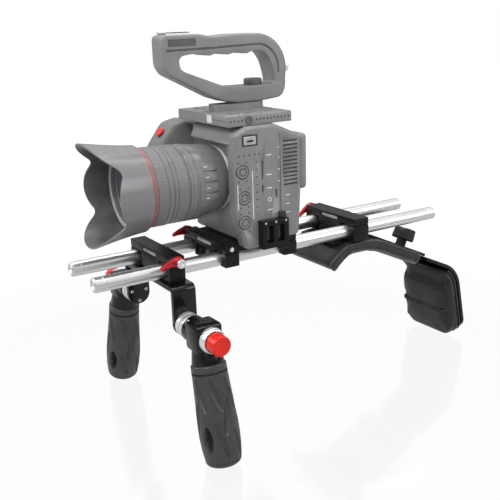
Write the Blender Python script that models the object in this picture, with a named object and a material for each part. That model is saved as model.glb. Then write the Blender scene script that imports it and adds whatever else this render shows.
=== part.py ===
"""Shoulder rig for a cinema camera, with the camera, its zoom lens and a top handle mounted.

Metres, +Z up.  The lens looks along -Y, and +X is the operator's left.
The origin is the middle of the flat tripod face under the base plate.
"""
import math

import bmesh
import bpy
from mathutils import Matrix, Vector

# Fits shared by every piece
GAP = 0.0003              # between faces that touch
ROD_CLEARANCE = 0.0003    # between a rod and the jaws around it
SEGMENTS = 32             # sides of a round piece

# Rods: the 15 mm lightweight support standard
ROD_RADIUS = 0.0075
ROD_SPACING = 0.060
ROD_FRONT = -0.180
ROD_REAR = 0.2585
ROD_AXIS_Z = 0.009
ROD_BEVEL = 0.0012

# Rod clamps: a bar over the rods, a core between them and a hook under each
JAW_WALL = 0.0075
BAR_HEIGHT = 0.0085
CORE_MARGIN = 0.0015
CORE_DEPTH = 0.0075
HOOK_LIP = 0.0022
SHORT_HOOK_DROP = 0.0066
HOOK_COVER = 0.004
LEVER_BOLT_RADIUS = 0.0022
LEVER_BOLT_RISE = 0.0115
LEVER_THICKNESS = 0.006
LEVER_LENGTH = 0.021
LEVER_HUB_RADIUS = 0.0055
BOLT_HEAD_LENGTH = 0.003

# Base plate under the camera
BASE_HALF_LENGTH = 0.044
BASE_CLAMP_LENGTH = 0.016
BASE_REACH = 0.006
TRIPOD_BOSS_WIDTH = 0.038
TRIPOD_BOSS_LENGTH = 0.030
CAMERA_SCREW_RADIUS = 0.0032
CAMERA_SCREW_HEAD = 0.0075
CAMERA_SCREW_Y = 0.021
CAMERA_SCREW_REACH = 0.006

# Cable bracket on the left of the base
BRACKET_HEIGHT = 0.029
BRACKET_LENGTH = 0.032
BRACKET_THICKNESS = 0.009
BRACKET_WALL = 0.0055
BRACKET_Y = 0.005
BRACKET_FOOT = 0.004
BRACKET_FOOT_LENGTH = 0.012
BRACKET_SCREW_RADIUS = 0.0042

# Handle assembly
HANDLE_Y = -0.0985
HANDLE_CLAMP_LENGTH = 0.017
STRAP_THICKNESS = 0.005
STRAP_WIDTH = 0.025
STRAP_HALF_SPAN = 0.057
STRAP_BEND = 0.006
PIVOT_DROP = 0.049
ROSETTE_RADIUS = 0.0125
ROSETTE_THICKNESS = 0.0065
HEAD_WIDTH = 0.0340
HEAD_HUB_RADIUS = 0.0105
HEAD_HUB_LENGTH = 0.009
HEAD_HALF_DEPTH = 0.0140
HEAD_HALF_HEIGHT = 0.0138
GRIP_OFFSET = 0.0208
NECK_RADIUS = 0.0158
NECK_LENGTH = 0.0262
GRIP_LEAN = math.radians(13.2)
GRIP_LENGTH = 0.094
GRIP_TOP_RADIUS = 0.0171
GRIP_WAIST_RADIUS = 0.0197
GRIP_FOOT_RADIUS = 0.0176
GRIP_WIDEST = 0.74
GRIP_CAP_HEIGHT = 0.0058
CUP_LENGTH = 0.0080
CUP_WALL = 0.0026
BUTTON_RADIUS = 0.0098
BUTTON_PROUD = 0.0130
BUTTON_TRAVEL = 0.004

# Shoulder and back pads
PAD_CLAMP_Y = 0.134
PAD_CLAMP_LENGTH = 0.021
PAD_HALF_WIDTH = 0.042
PAD_THICKNESS = 0.0130
PAD_FRONT_Y = 0.0895
PAD_REAR_Y = 0.2330
PAD_TOP_DROP = 0.0018
FRAME_REACH = 0.001
FRAME_THICKNESS = 0.0036
FRAME_SLOPE = math.radians(24.5)
FRAME_FRONT_Y = 0.106
FRAME_BREAK_Y = 0.160
FRAME_REAR_Y = 0.250
KNOB_Y = 0.236
KNOB_STEM_RADIUS = 0.004
KNOB_STEM_LENGTH = 0.009
KNOB_BAR_LENGTH = 0.027
KNOB_BAR_SIZE = 0.0150
BACK_PLATE_THICKNESS = 0.0040
BACK_PLATE_BEND = 0.044
BACK_PLATE_HALF_WIDTH = 0.041
BACK_TONGUE_HALF_WIDTH = 0.0295
BACK_TONGUE_LENGTH = 0.042
BACK_SHOULDER = 0.010
BACK_BEND_START = 0.048
BACK_HEIGHT = 0.066
BACK_TILT = math.radians(12.0)
BACK_CUSHION_HALF_WIDTH = 0.039
BACK_CUSHION_DEPTH = 0.022
BACK_CUSHION_LIP = 0.0045
BACK_CUSHION_OVERHANG = 0.003
KNOB_HOLE_CLEARANCE = 0.0008
BACK_SLOT_LENGTH = 0.024

# Camera
CAMERA_LEFT = 0.055
CAMERA_RIGHT = -0.050
CAMERA_FRONT = -0.0245
FLANK_REACH = 0.0100
FLANK_WIDTH = 0.0175
FLANK_DROP = 0.0055
BROW_MARGIN = 0.016
BROW_REACH = 0.0115
CAMERA_REAR = 0.0445
CAMERA_HEIGHT = 0.118
CAMERA_BEVEL = 0.003
HAND_GRIP_WIDTH = 0.034
GRIP_REACH = 0.041
RECORD_RADIUS = 0.0052
RECORD_TRAVEL = 0.001
BATTERY_DEPTH = 0.012
BATTERY_HEIGHT = 0.058
TOP_PLATE_FRONT = -0.0395
TOP_PLATE_LENGTH = 0.075
TOP_PLATE_THICKNESS = 0.0105
PLATE_SLOT_X = 0.034
PLATE_SLOT_PITCH = 0.020
PLATE_SLOT_WIDTH = 0.0036
RAIL_WIDTH = 0.018
RAIL_HEIGHT = 0.0070

# Top handle
TOP_HANDLE_WIDTH = 0.024
TOP_HANDLE_FRONT = -0.084
HANDLE_BEND = 0.0360
FINGER_PITCH = 0.0210
FINGER_SWELL = 0.0030
THUMB_RADIUS = 0.006
LOCK_RADIUS = 0.0095
SHOE_LENGTH = 0.040
SHOE_HEIGHT = 0.069

# Lens
LENS_RISE = 0.0614
MOUNT_THICKNESS = 0.0035
MOUNT_INSET = 0.0015
GLASS_RADIUS = 0.0335
BARREL_WALL = 0.0010
LENS_REAR_LENGTH = 0.036
RING_THICKNESS = 0.0040
RING_SEAT_GAP = 0.0004
RING_STEP = 0.0012
LENS_TAPER = 0.0025
GLASS_SEAT_GAP = 0.0006
HOOD_THICKNESS = 0.0016
HOOD_STEP = 0.0045
HOOD_FLARE = 0.0075
HOOD_BACK_Y = -0.1160
HOOD_LONG_REACH = 0.053
HOOD_SIDE_REACH = 0.036
HOOD_VALLEY_REACH = 0.027
HOOD_VALLEY_ANGLE = math.radians(56)

# Places worked out from the sizes above
ROD_X = ROD_SPACING / 2
ROD_TOP = ROD_AXIS_Z + ROD_RADIUS
BAR_HALF_WIDTH = ROD_X + ROD_RADIUS + JAW_WALL
BASE_HALF_WIDTH = ROD_X + BASE_REACH
FRAME_HALF_WIDTH = ROD_X + FRAME_REACH
JAW_RADIUS = ROD_RADIUS + ROD_CLEARANCE
BAR_LOW = ROD_TOP + ROD_CLEARANCE
BAR_TOP = BAR_LOW + BAR_HEIGHT
BOLT_Z = ROD_AXIS_Z + LEVER_BOLT_RISE
CAMERA_BASE = BAR_TOP + GAP
CAMERA_TOP = CAMERA_BASE + CAMERA_HEIGHT
LENS_AXIS_Z = CAMERA_BASE + LENS_RISE
BARREL_RADIUS = GLASS_RADIUS + BARREL_WALL
MOUNT_RADIUS = BARREL_RADIUS - MOUNT_INSET
RING_RADIUS = BARREL_RADIUS + RING_THICKNESS
HOOD_BACK_RADIUS = RING_RADIUS + HOOD_STEP
HOOD_MOUTH_RADIUS = HOOD_BACK_RADIUS + HOOD_FLARE
CUP_RADIUS = BUTTON_RADIUS + CUP_WALL
TOP_PLATE_LOW = CAMERA_TOP + GAP
TOP_PLATE_TOP = TOP_PLATE_LOW + TOP_PLATE_THICKNESS
HANDLE_FOOT = TOP_PLATE_TOP + RAIL_HEIGHT + GAP
STRAP_TOP = ROD_AXIS_Z - ROD_RADIUS - HOOK_LIP - ROD_CLEARANCE - GAP
PIVOT_Z = ROD_AXIS_Z - PIVOT_DROP
FRAME_TOP = STRAP_TOP


def clear_scene():
    """Remove every object that the scene starts with."""
    for item in list(bpy.data.objects):
        bpy.data.objects.remove(item)


def make_material(name, colour, roughness, metallic=0.0):
    """Return a Principled material of one colour."""
    material = bpy.data.materials.new(name)
    material.use_nodes = True
    shader = material.node_tree.nodes["Principled BSDF"]
    shader.inputs["Base Color"].default_value = (*colour, 1.0)
    shader.inputs["Roughness"].default_value = roughness
    shader.inputs["Metallic"].default_value = metallic
    return material


def make_object(name, builder, material=None):
    """Turn a bmesh into an object with its faces pointing out."""
    bmesh.ops.recalc_face_normals(builder, faces=builder.faces)
    mesh = bpy.data.meshes.new(name)
    builder.to_mesh(mesh)
    builder.free()
    if material is not None:
        mesh.materials.append(material)
    mesh.shade_smooth()
    mesh.set_sharp_from_angle(angle=math.radians(35))
    item = bpy.data.objects.new(name, mesh)
    bpy.context.scene.collection.objects.link(item)
    return item


def place(axis, along, first, second):
    """Return the point whose coordinate on axis is along; the others keep their order."""
    if axis == "X":
        return Vector((along, first, second))
    if axis == "Y":
        return Vector((first, along, second))
    return Vector((first, second, along))


def prism(name, outline, axis, low, high, material=None):
    """Extrude a closed outline from low to high along an axis."""
    builder = bmesh.new()
    ends = []
    for along in (low, high):
        ends.append([builder.verts.new(place(axis, along, *point)) for point in outline])
    builder.faces.new(ends[0])
    builder.faces.new(ends[1])
    count = len(outline)
    for index in range(count):
        following = (index + 1) % count
        builder.faces.new((ends[0][index], ends[0][following], ends[1][following], ends[1][index]))
    return make_object(name, builder, material)


def block(name, low, high, material=None):
    """Return a box between two corners."""
    outline = [(low[0], low[1]), (high[0], low[1]), (high[0], high[1]), (low[0], high[1])]
    return prism(name, outline, "Z", low[2], high[2], material)


def turned(name, profile, origin, direction, material=None, closed=False, segments=SEGMENTS):
    """Turn (distance, radius) points about an axis; closed joins the last point to the first."""
    turn = Vector(direction).to_track_quat("Z", "Y").to_matrix().to_4x4()
    frame = Matrix.Translation(Vector(origin)) @ turn
    builder = bmesh.new()
    rings = []
    for distance, radius in profile:
        ring = []
        for step in range(segments):
            angle = 2 * math.pi * step / segments
            spot = Vector((radius * math.cos(angle), radius * math.sin(angle), distance))
            ring.append(builder.verts.new(frame @ spot))
        rings.append(ring)
    pairs = list(zip(rings, rings[1:]))
    if closed:
        pairs.append((rings[-1], rings[0]))
    else:
        builder.faces.new(rings[0])
        builder.faces.new(rings[-1])
    for first, second in pairs:
        for step in range(segments):
            after = (step + 1) % segments
            builder.faces.new((first[step], first[after], second[after], second[step]))
    return make_object(name, builder, material)


def rod_shape(name, start, end, radius, material=None, segments=SEGMENTS):
    """Return a plain cylinder between two points."""
    reach = Vector(end) - Vector(start)
    return turned(name, [(0, radius), (reach.length, radius)], start, reach, material, segments=segments)


def combine(target, others, operation):
    """Apply an exact boolean of every other object to the target, and drop the others."""
    for other in others:
        step = target.modifiers.new(operation.lower(), "BOOLEAN")
        step.operation = operation
        step.solver = "EXACT"
        step.object = other
    bpy.context.view_layer.update()
    evaluated = target.evaluated_get(bpy.context.evaluated_depsgraph_get())
    mesh = bpy.data.meshes.new_from_object(evaluated)
    target.modifiers.clear()
    target.data = mesh
    for other in others:
        bpy.data.objects.remove(other)
    return target


def cut(target, *cutters):
    """Cut every cutter out of the target."""
    return combine(target, cutters, "DIFFERENCE")


def join(target, *others):
    """Join solids that overlap into one body."""
    return combine(target, others, "UNION")


def soften(item, width, segments=1, angle=30):
    """Round the sharp edges of an object."""
    bevel = item.modifiers.new("bevel", "BEVEL")
    bevel.width = width
    bevel.segments = segments
    bevel.limit_method = "ANGLE"
    bevel.angle_limit = math.radians(angle)
    return item


def set_pivot(item, point):
    """Move an object's origin onto its joint without moving its shape."""
    item.data.transform(Matrix.Translation(-Vector(point)))
    item.location = point
    return item


def arc(centre, radius, start, end, count):
    """Return points on an arc, in degrees, both ends included."""
    points = []
    for step in range(count + 1):
        angle = math.radians(start + (end - start) * step / count)
        points.append((centre[0] + radius * math.cos(angle), centre[1] + radius * math.sin(angle)))
    return points


def thick_path(points, thickness):
    """Return the outline of a sheet whose upper side follows the points."""
    lower = []
    for index, point in enumerate(points):
        before = Vector(points[max(index - 1, 0)])
        after = Vector(points[min(index + 1, len(points) - 1)])
        along = (after - before).normalized()
        lower.append((point[0] + thickness * along.y, point[1] - thickness * along.x))
    return list(points) + lower[::-1]


def cosine_rise(position, pitch, height):
    """Return a smooth wave between 0 and height."""
    return height * (1 - math.cos(2 * math.pi * position / pitch)) / 2


# Rods and clamps

def build_rods(steel):
    """Two rods with bevelled ends."""
    for side, x in (("left", ROD_X), ("right", -ROD_X)):
        length = ROD_REAR - ROD_FRONT
        profile = [
            (0, ROD_RADIUS - ROD_BEVEL),
            (ROD_BEVEL, ROD_RADIUS),
            (length - ROD_BEVEL, ROD_RADIUS),
            (length, ROD_RADIUS - ROD_BEVEL),
        ]
        turned("rod_" + side, profile, (x, ROD_FRONT, ROD_AXIS_Z), (0, 1, 0), steel)


def build_clamp(name, y_mid, length, metal, bolted=True):
    """A clamp body: the bar over the rods with its core between them, bored for the lever bolt."""
    core = ROD_X - ROD_RADIUS - CORE_MARGIN
    core_low = ROD_AXIS_Z - CORE_DEPTH
    outline = [
        (-BAR_HALF_WIDTH, BAR_LOW),
        (-core, BAR_LOW),
        (-core, core_low),
        (core, core_low),
        (core, BAR_LOW),
        (BAR_HALF_WIDTH, BAR_LOW),
        (BAR_HALF_WIDTH, BAR_TOP),
        (-BAR_HALF_WIDTH, BAR_TOP),
    ]
    body = prism(name, outline, "Y", y_mid - length / 2, y_mid + length / 2, metal)
    soften(body, 0.0008)
    if bolted:
        reach = BAR_HALF_WIDTH + length
        bore = rod_shape("bore", (-reach, y_mid, BOLT_Z), (reach, y_mid, BOLT_Z),
                         LEVER_BOLT_RADIUS + GAP, segments=16)
        cut(body, bore)
    return body


def build_hook(name, side, y_mid, length, metal, short=False):
    """The jaw outside one rod: a short one is a cheek, a long one lips under the rod."""
    inner = ROD_X - HOOK_COVER
    low = ROD_AXIS_Z - ROD_RADIUS - ROD_CLEARANCE - HOOK_LIP
    if short:
        inner = ROD_X + HOOK_COVER / 2
        low = ROD_AXIS_Z - SHORT_HOOK_DROP
    high = BAR_LOW - GAP
    corners = [(inner, low), (BAR_HALF_WIDTH, low), (BAR_HALF_WIDTH, high), (ROD_X + HOOK_COVER, high),
               (ROD_X + HOOK_COVER, ROD_AXIS_Z), (inner, ROD_AXIS_Z)]
    outline = [(side * x, z) for x, z in corners]
    hook = prism(name, outline, "Y", y_mid - length / 2, y_mid + length / 2, metal)
    rod_room = rod_shape("room", (side * ROD_X, y_mid - length, ROD_AXIS_Z),
                         (side * ROD_X, y_mid + length, ROD_AXIS_Z), JAW_RADIUS, segments=SEGMENTS)
    return cut(hook, rod_room)


def lever_outline(lift):
    """Return a lever's side outline about its hub: a round hub with a curved, swelling tail."""
    tail = []
    for step in range(1, 7):
        share = step / 6
        tail.append((-LEVER_LENGTH * share, lift * share * share))
    upper = [(y, z + LEVER_HUB_RADIUS * (0.95 - 0.35 * index / 5)) for index, (y, z) in enumerate(tail)]
    lower = [(y, z - LEVER_HUB_RADIUS * (0.45 - 0.20 * index / 5)) for index, (y, z) in enumerate(tail)]
    hub = arc((0, 0), LEVER_HUB_RADIUS, -110, 100, 8)
    return hub + upper + lower[::-1]


def build_lever(name, side, y_mid, lift, lever_paint, steel):
    """The lever on one end of a clamp, and the bolt that it draws."""
    inner = BAR_HALF_WIDTH + GAP
    outer = inner + LEVER_THICKNESS
    outline = [(y_mid + y, BOLT_Z + z) for y, z in lever_outline(lift)]
    low, high = sorted((side * inner, side * outer))
    lever = prism(name, outline, "X", low, high, lever_paint)
    bore = rod_shape("bore", (0, y_mid, BOLT_Z), (side * outer * 2, y_mid, BOLT_Z),
                     LEVER_BOLT_RADIUS + GAP, segments=16)
    cut(soften(lever, 0.0009), bore)
    set_pivot(lever, (side * inner, y_mid, BOLT_Z))
    head = outer + GAP
    profile = [
        (0, LEVER_BOLT_RADIUS * 1.7),
        (BOLT_HEAD_LENGTH, LEVER_BOLT_RADIUS * 1.7),
        (BOLT_HEAD_LENGTH, LEVER_BOLT_RADIUS),
        (BOLT_HEAD_LENGTH + head + BAR_HALF_WIDTH * 0.8, LEVER_BOLT_RADIUS),
    ]
    start = (side * (head + BOLT_HEAD_LENGTH), y_mid, BOLT_Z)
    turned(name + "_bolt", profile, start, (-side, 0, 0), steel, segments=16)


# Base plate

def build_base(metal, lever_paint, steel):
    """The base: two clamps joined by a plate, whose boss between the rods takes a tripod plate."""
    clamp_y = BASE_HALF_LENGTH - BASE_CLAMP_LENGTH / 2
    for place_name, y_mid in (("front", -clamp_y), ("rear", clamp_y)):
        build_clamp("base_" + place_name + "_clamp", y_mid, BASE_CLAMP_LENGTH, metal, place_name == "front")
        for side_name, side in (("left", 1), ("right", -1)):
            name = "base_" + place_name + "_hook_" + side_name
            build_hook(name, side, y_mid, BASE_CLAMP_LENGTH, metal, short=True)
    build_lever("base_lever", -1, -clamp_y, -0.004, lever_paint, steel)
    plate_end = BASE_HALF_LENGTH - BASE_CLAMP_LENGTH - GAP
    plate = block("base_plate", (-BASE_HALF_WIDTH, -plate_end, BAR_LOW),
                  (BASE_HALF_WIDTH, plate_end, BAR_TOP), metal)
    screw_room = rod_shape("room", (0, CAMERA_SCREW_Y, BAR_LOW - 0.01), (0, CAMERA_SCREW_Y, BAR_TOP + 0.01),
                           CAMERA_SCREW_RADIUS + GAP, segments=20)
    half_x = TRIPOD_BOSS_WIDTH / 2
    half_y = TRIPOD_BOSS_LENGTH / 2
    boss = block("boss", (-half_x, -half_y, 0), (half_x, half_y, BAR_LOW + BAR_HEIGHT / 2))
    cut(join(plate, boss), screw_room)
    build_camera_screw(steel)


def build_camera_screw(steel):
    """The screw that holds the camera down, behind the tripod boss."""
    head_top = BAR_LOW - GAP
    shank = BAR_HEIGHT + GAP + CAMERA_SCREW_REACH
    profile = [
        (0, CAMERA_SCREW_HEAD * 0.72),
        (0.0045, CAMERA_SCREW_HEAD * 0.72),
        (0.0045, CAMERA_SCREW_RADIUS),
        (0.0045 + shank, CAMERA_SCREW_RADIUS),
    ]
    start = (0, CAMERA_SCREW_Y, head_top - 0.0045)
    turned("camera_screw", profile, start, (0, 0, 1), steel, segments=20)


def build_side_bracket(metal, steel):
    """The slotted cable bracket beside the camera, on a foot from the base plate."""
    left = CAMERA_LEFT + GAP * 2
    foot_low = BAR_LOW + GAP
    foot_top = foot_low + BRACKET_FOOT
    front = BRACKET_Y - BRACKET_LENGTH / 2
    rear = BRACKET_Y + BRACKET_LENGTH / 2
    foot = block("side_bracket", (BASE_HALF_WIDTH + GAP, rear - BRACKET_FOOT_LENGTH, foot_low),
                 (left + BRACKET_THICKNESS, rear, foot_top), metal)
    low = foot_top - BRACKET_FOOT / 4
    high = low + BRACKET_HEIGHT
    post = block("post", (left, front, low), (left + BRACKET_THICKNESS, rear, high))
    slot_length = (BRACKET_LENGTH - 3 * BRACKET_WALL) / 2
    slots = []
    for index in range(2):
        start = front + BRACKET_WALL + index * (slot_length + BRACKET_WALL)
        slots.append(block("slot", (left - 0.01, start, low + BRACKET_WALL),
                           (left + BRACKET_THICKNESS + 0.01, start + slot_length, high - BRACKET_WALL)))
    soften(join(foot, cut(post, *slots)), 0.0006)
    screw_y = rear - BRACKET_WALL
    wide = BRACKET_SCREW_RADIUS
    profile = [(0, wide * 0.8), (0.001, wide), (0.005, wide), (0.006, wide * 0.8)]
    base = (left + BRACKET_THICKNESS / 2, screw_y, high + GAP)
    set_pivot(turned("bracket_thumbscrew", profile, base, (0, 0, 1), steel, segments=20), base)


# Handles

def grip_direction(side):
    """Return the unit vector down a handle."""
    return Vector((side * math.sin(GRIP_LEAN), 0, -math.cos(GRIP_LEAN)))


def build_strap(metal):
    """The bent strap under the clamp, with a round leg down to each rosette."""
    outer = STRAP_HALF_SPAN
    inner = outer - STRAP_THICKNESS
    turn = STRAP_BEND
    top = STRAP_TOP
    right_half = arc((outer - turn, top - turn), turn, 90, 0, 4) + [(outer, PIVOT_Z - STRAP_WIDTH / 2)]
    foot = (inner, PIVOT_Z - STRAP_WIDTH / 2)
    back_half = [foot] + arc((outer - turn, top - turn), turn - STRAP_THICKNESS, 0, 90, 4)
    upper = [(-x, z) for x, z in reversed(right_half)] + right_half
    lower = back_half + [(-x, z) for x, z in reversed(back_half)]
    strap = prism("handle_strap", upper + lower, "Y",
                  HANDLE_Y - STRAP_WIDTH / 2, HANDLE_Y + STRAP_WIDTH / 2, metal)
    corners = []
    for side in (1, -1):
        low = PIVOT_Z - STRAP_WIDTH
        room = block("room", (side * outer - 0.01, HANDLE_Y - STRAP_WIDTH, low),
                     (side * outer + 0.01, HANDLE_Y + STRAP_WIDTH, PIVOT_Z))
        keep = rod_shape("keep", (side * outer - 0.012, HANDLE_Y, PIVOT_Z),
                         (side * outer + 0.012, HANDLE_Y, PIVOT_Z), STRAP_WIDTH / 2)
        corners.append(cut(room, keep))
    return cut(strap, *corners)


def build_head(side_name, side, metal, silver, red):
    """The rosette pair, head, cup and push button of one handle."""
    pivot = Vector((0, HANDLE_Y, PIVOT_Z))
    start = STRAP_HALF_SPAN + GAP
    across = (side, 0, 0)
    fixed = Vector((side * start, 0, 0)) + pivot
    disc = [(0, ROSETTE_RADIUS), (ROSETTE_THICKNESS, ROSETTE_RADIUS)]
    turned("strap_rosette_" + side_name, disc, fixed, across, silver)
    start += ROSETTE_THICKNESS + GAP
    moving = Vector((side * start, 0, 0)) + pivot
    set_pivot(turned("head_rosette_" + side_name, disc, moving, across, silver), moving)
    start += ROSETTE_THICKNESS + GAP
    moving_face = Vector((side * start, 0, 0)) + pivot
    hub = rod_shape("hub", moving_face, moving_face + Vector(across) * (HEAD_HUB_LENGTH * 2), HEAD_HUB_RADIUS)
    low, high = sorted((side * (start + HEAD_HUB_LENGTH), side * (start + HEAD_WIDTH)))
    head = block("handle_head_" + side_name,
                 (low, HANDLE_Y - HEAD_HALF_DEPTH, PIVOT_Z - HEAD_HALF_HEIGHT),
                 (high, HANDLE_Y + HEAD_HALF_DEPTH, PIVOT_Z + HEAD_HALF_HEIGHT), metal)
    soften(head, 0.0035, segments=2)
    middle = pivot + Vector((side * (start + GRIP_OFFSET), 0, 0))
    neck = turned("neck", [(0, NECK_RADIUS * 0.72), (NECK_LENGTH, NECK_RADIUS)], middle, grip_direction(side))
    outer = Vector((side * (start + HEAD_WIDTH), 0, 0)) + pivot
    cup_room = rod_shape("room", outer, outer + Vector(across) * HEAD_WIDTH, CUP_RADIUS + GAP * 2)
    set_pivot(cut(join(head, hub, neck), cup_room), moving)
    start += HEAD_WIDTH + GAP
    build_button(side_name, side, pivot, start, silver, red)
    return middle


def build_button(side_name, side, pivot, start, silver, red):
    """The silver cup on a handle's head and the red release button inside it."""
    base = Vector((side * start, 0, 0)) + pivot
    across = (side, 0, 0)
    bore = BUTTON_RADIUS + GAP
    floor = CUP_LENGTH - BUTTON_TRAVEL - GAP
    cup = rod_shape("button_cup_" + side_name, base, base + Vector(across) * CUP_LENGTH, CUP_RADIUS, silver)
    soften(cup, 0.0008)
    seat = rod_shape("seat", base + Vector(across) * floor, base + Vector(across) * CUP_LENGTH * 2, bore)
    cut(cup, seat)
    foot = base + Vector(across) * CUP_LENGTH
    length = BUTTON_PROUD
    profile = [(0, BUTTON_RADIUS), (length - 0.0015, BUTTON_RADIUS), (length, BUTTON_RADIUS - 0.0015)]
    set_pivot(turned("push_button_" + side_name, profile, foot, across, red), foot)


def grip_radius(share):
    """Return the grip's radius at a share of its length: it swells to its waist, then draws in."""
    if share < GRIP_WIDEST:
        part = share / GRIP_WIDEST
        return GRIP_TOP_RADIUS + (GRIP_WAIST_RADIUS - GRIP_TOP_RADIUS) * part * part * (3 - 2 * part)
    part = (share - GRIP_WIDEST) / (1 - GRIP_WIDEST)
    return GRIP_WAIST_RADIUS + (GRIP_FOOT_RADIUS - GRIP_WAIST_RADIUS) * part * part


def build_grip(side_name, side, middle, rubber, cap_plastic):
    """The rubber grip under a head, and the cap that closes its bottom."""
    down = grip_direction(side)
    start = middle + down * (NECK_LENGTH + GAP)
    steps = 8
    profile = [(0, GRIP_TOP_RADIUS - 0.0008)]
    for step in range(steps + 1):
        share = step / steps
        profile.append((0.0015 + (GRIP_LENGTH - 0.0015) * share, grip_radius(share)))
    turned("grip_" + side_name, profile, start, down, rubber)
    foot = start + down * (GRIP_LENGTH + GAP)
    cap = []
    for step in range(5):
        angle = math.radians(80 * step / 4)
        cap.append((GRIP_CAP_HEIGHT * math.sin(angle), GRIP_FOOT_RADIUS - 0.008 * (1 - math.cos(angle))))
    turned("grip_cap_" + side_name, cap, foot, down, cap_plastic)


def build_handles(metal, lever_paint, steel, silver, red, rubber):
    """The clamp on the rods, its strap and the two handles."""
    build_clamp("handle_clamp", HANDLE_Y, HANDLE_CLAMP_LENGTH, metal)
    for side_name, side in (("left", 1), ("right", -1)):
        build_hook("handle_hook_" + side_name, side, HANDLE_Y, HANDLE_CLAMP_LENGTH, metal)
    build_lever("handle_lever", 1, HANDLE_Y, -0.006, lever_paint, steel)
    build_strap(metal)
    for side_name, side in (("left", 1), ("right", -1)):
        middle = build_head(side_name, side, metal, silver, red)
        build_grip(side_name, side, middle, rubber, rubber)


# Shoulder and back pads

def frame_line(y):
    """Return the height of the pad frame's upper face."""
    return FRAME_TOP - max(0.0, y - FRAME_BREAK_Y) * math.tan(FRAME_SLOPE)


def build_pad_frame(metal):
    """The plate under the pad clamp that carries both pads."""
    top = [(FRAME_FRONT_Y, FRAME_TOP), (FRAME_BREAK_Y, FRAME_TOP), (FRAME_REAR_Y, frame_line(FRAME_REAR_Y))]
    outline = thick_path(top, FRAME_THICKNESS)
    frame = prism("pad_frame", outline, "X", -FRAME_HALF_WIDTH, FRAME_HALF_WIDTH, metal)
    cut(frame, knob_axis_cutter(KNOB_STEM_RADIUS + KNOB_HOLE_CLEARANCE))
    return frame


def slope_frame():
    """Return the point on the slope under the knob, the slope's normal and its direction down."""
    point = Vector((0, KNOB_Y, frame_line(KNOB_Y)))
    normal = Vector((0, math.sin(FRAME_SLOPE), math.cos(FRAME_SLOPE)))
    down = Vector((0, math.cos(FRAME_SLOPE), -math.sin(FRAME_SLOPE)))
    return point, normal, down


def knob_axis_cutter(radius):
    """Return a cutter along the lock knob's axis."""
    point, normal, _ = slope_frame()
    return rod_shape("cutter", point - normal * 0.03, point + normal * 0.01, radius, segments=20)


def build_lock_knob(plastic):
    """The T-shaped knob that locks the back pad's arm under the frame."""
    point, normal, _ = slope_frame()
    reach = FRAME_THICKNESS + BACK_PLATE_THICKNESS + 2 * GAP
    stem = rod_shape("lock_knob", point - normal * reach, point + normal * KNOB_STEM_LENGTH,
                     KNOB_STEM_RADIUS, plastic, segments=20)
    collar = rod_shape("collar", point + normal * GAP, point + normal * KNOB_STEM_LENGTH,
                       KNOB_STEM_RADIUS * 1.6, segments=20)
    half = KNOB_BAR_LENGTH / 2
    outline = [(-half, 0), (-half * 0.9, KNOB_BAR_SIZE), (half * 0.9, KNOB_BAR_SIZE), (half, 0)]
    bar = prism("bar", outline, "Y", -KNOB_BAR_SIZE / 2, KNOB_BAR_SIZE / 2)
    tilt = Matrix.Rotation(-FRAME_SLOPE, 4, "X")
    seat = Matrix.Translation(point + normal * (KNOB_STEM_LENGTH - 0.001))
    bar.data.transform(seat @ tilt)
    knob = join(stem, collar, soften(bar, 0.0015))
    return set_pivot(knob, point)


def pad_top(y):
    """Return the height of the shoulder pad's upper face: it follows the frame and droops in front."""
    front_drop = max(0.0, (FRAME_FRONT_Y + 0.012) - y)
    droop = 0.42 * front_drop + 11.0 * front_drop * front_drop
    soft = 0.018
    past = y - FRAME_BREAK_Y
    bend = max(past, 0.0)
    if abs(past) < soft:
        bend = (past + soft) ** 2 / (4 * soft)
    return FRAME_TOP - PAD_TOP_DROP - droop - bend * math.tan(FRAME_SLOPE)


def sloped_room(name, start, end, depth, half_width):
    """Return a cutter that follows the frame from start to end and reaches depth below its upper face."""
    points = [(start, frame_line(start))]
    if start < FRAME_BREAK_Y < end:
        points.append((FRAME_BREAK_Y, frame_line(FRAME_BREAK_Y)))
    points.append((end, frame_line(end)))
    fall = depth / math.cos(FRAME_SLOPE)
    lower = [(y, z - fall) for y, z in points]
    upper = [(y, z + 0.03) for y, z in points]
    return prism(name, upper + lower[::-1], "X", -half_width, half_width)


def build_shoulder_pad(cloth):
    """The cushion that sits over the shoulder, recessed for the frame and the back plate's tongue."""
    steps = 14
    top = []
    for step in range(steps + 1):
        y = PAD_FRONT_Y + (PAD_REAR_Y - PAD_FRONT_Y) * step / steps
        top.append((y, pad_top(y)))
    pad = prism("shoulder_pad", thick_path(top, PAD_THICKNESS), "X", -PAD_HALF_WIDTH, PAD_HALF_WIDTH, cloth)
    room = FRAME_HALF_WIDTH + GAP * 2
    frame_room = sloped_room("room", FRAME_FRONT_Y - GAP * 2, PAD_REAR_Y + 0.02, FRAME_THICKNESS + GAP, room)
    tongue_start = KNOB_Y - BACK_TONGUE_LENGTH * math.cos(FRAME_SLOPE) - 0.004
    depth = FRAME_THICKNESS + BACK_PLATE_THICKNESS + GAP * 3
    tongue_room = sloped_room("room", tongue_start, PAD_REAR_Y + 0.02, depth, room)
    return cut(pad, frame_room, tongue_room)


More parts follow.
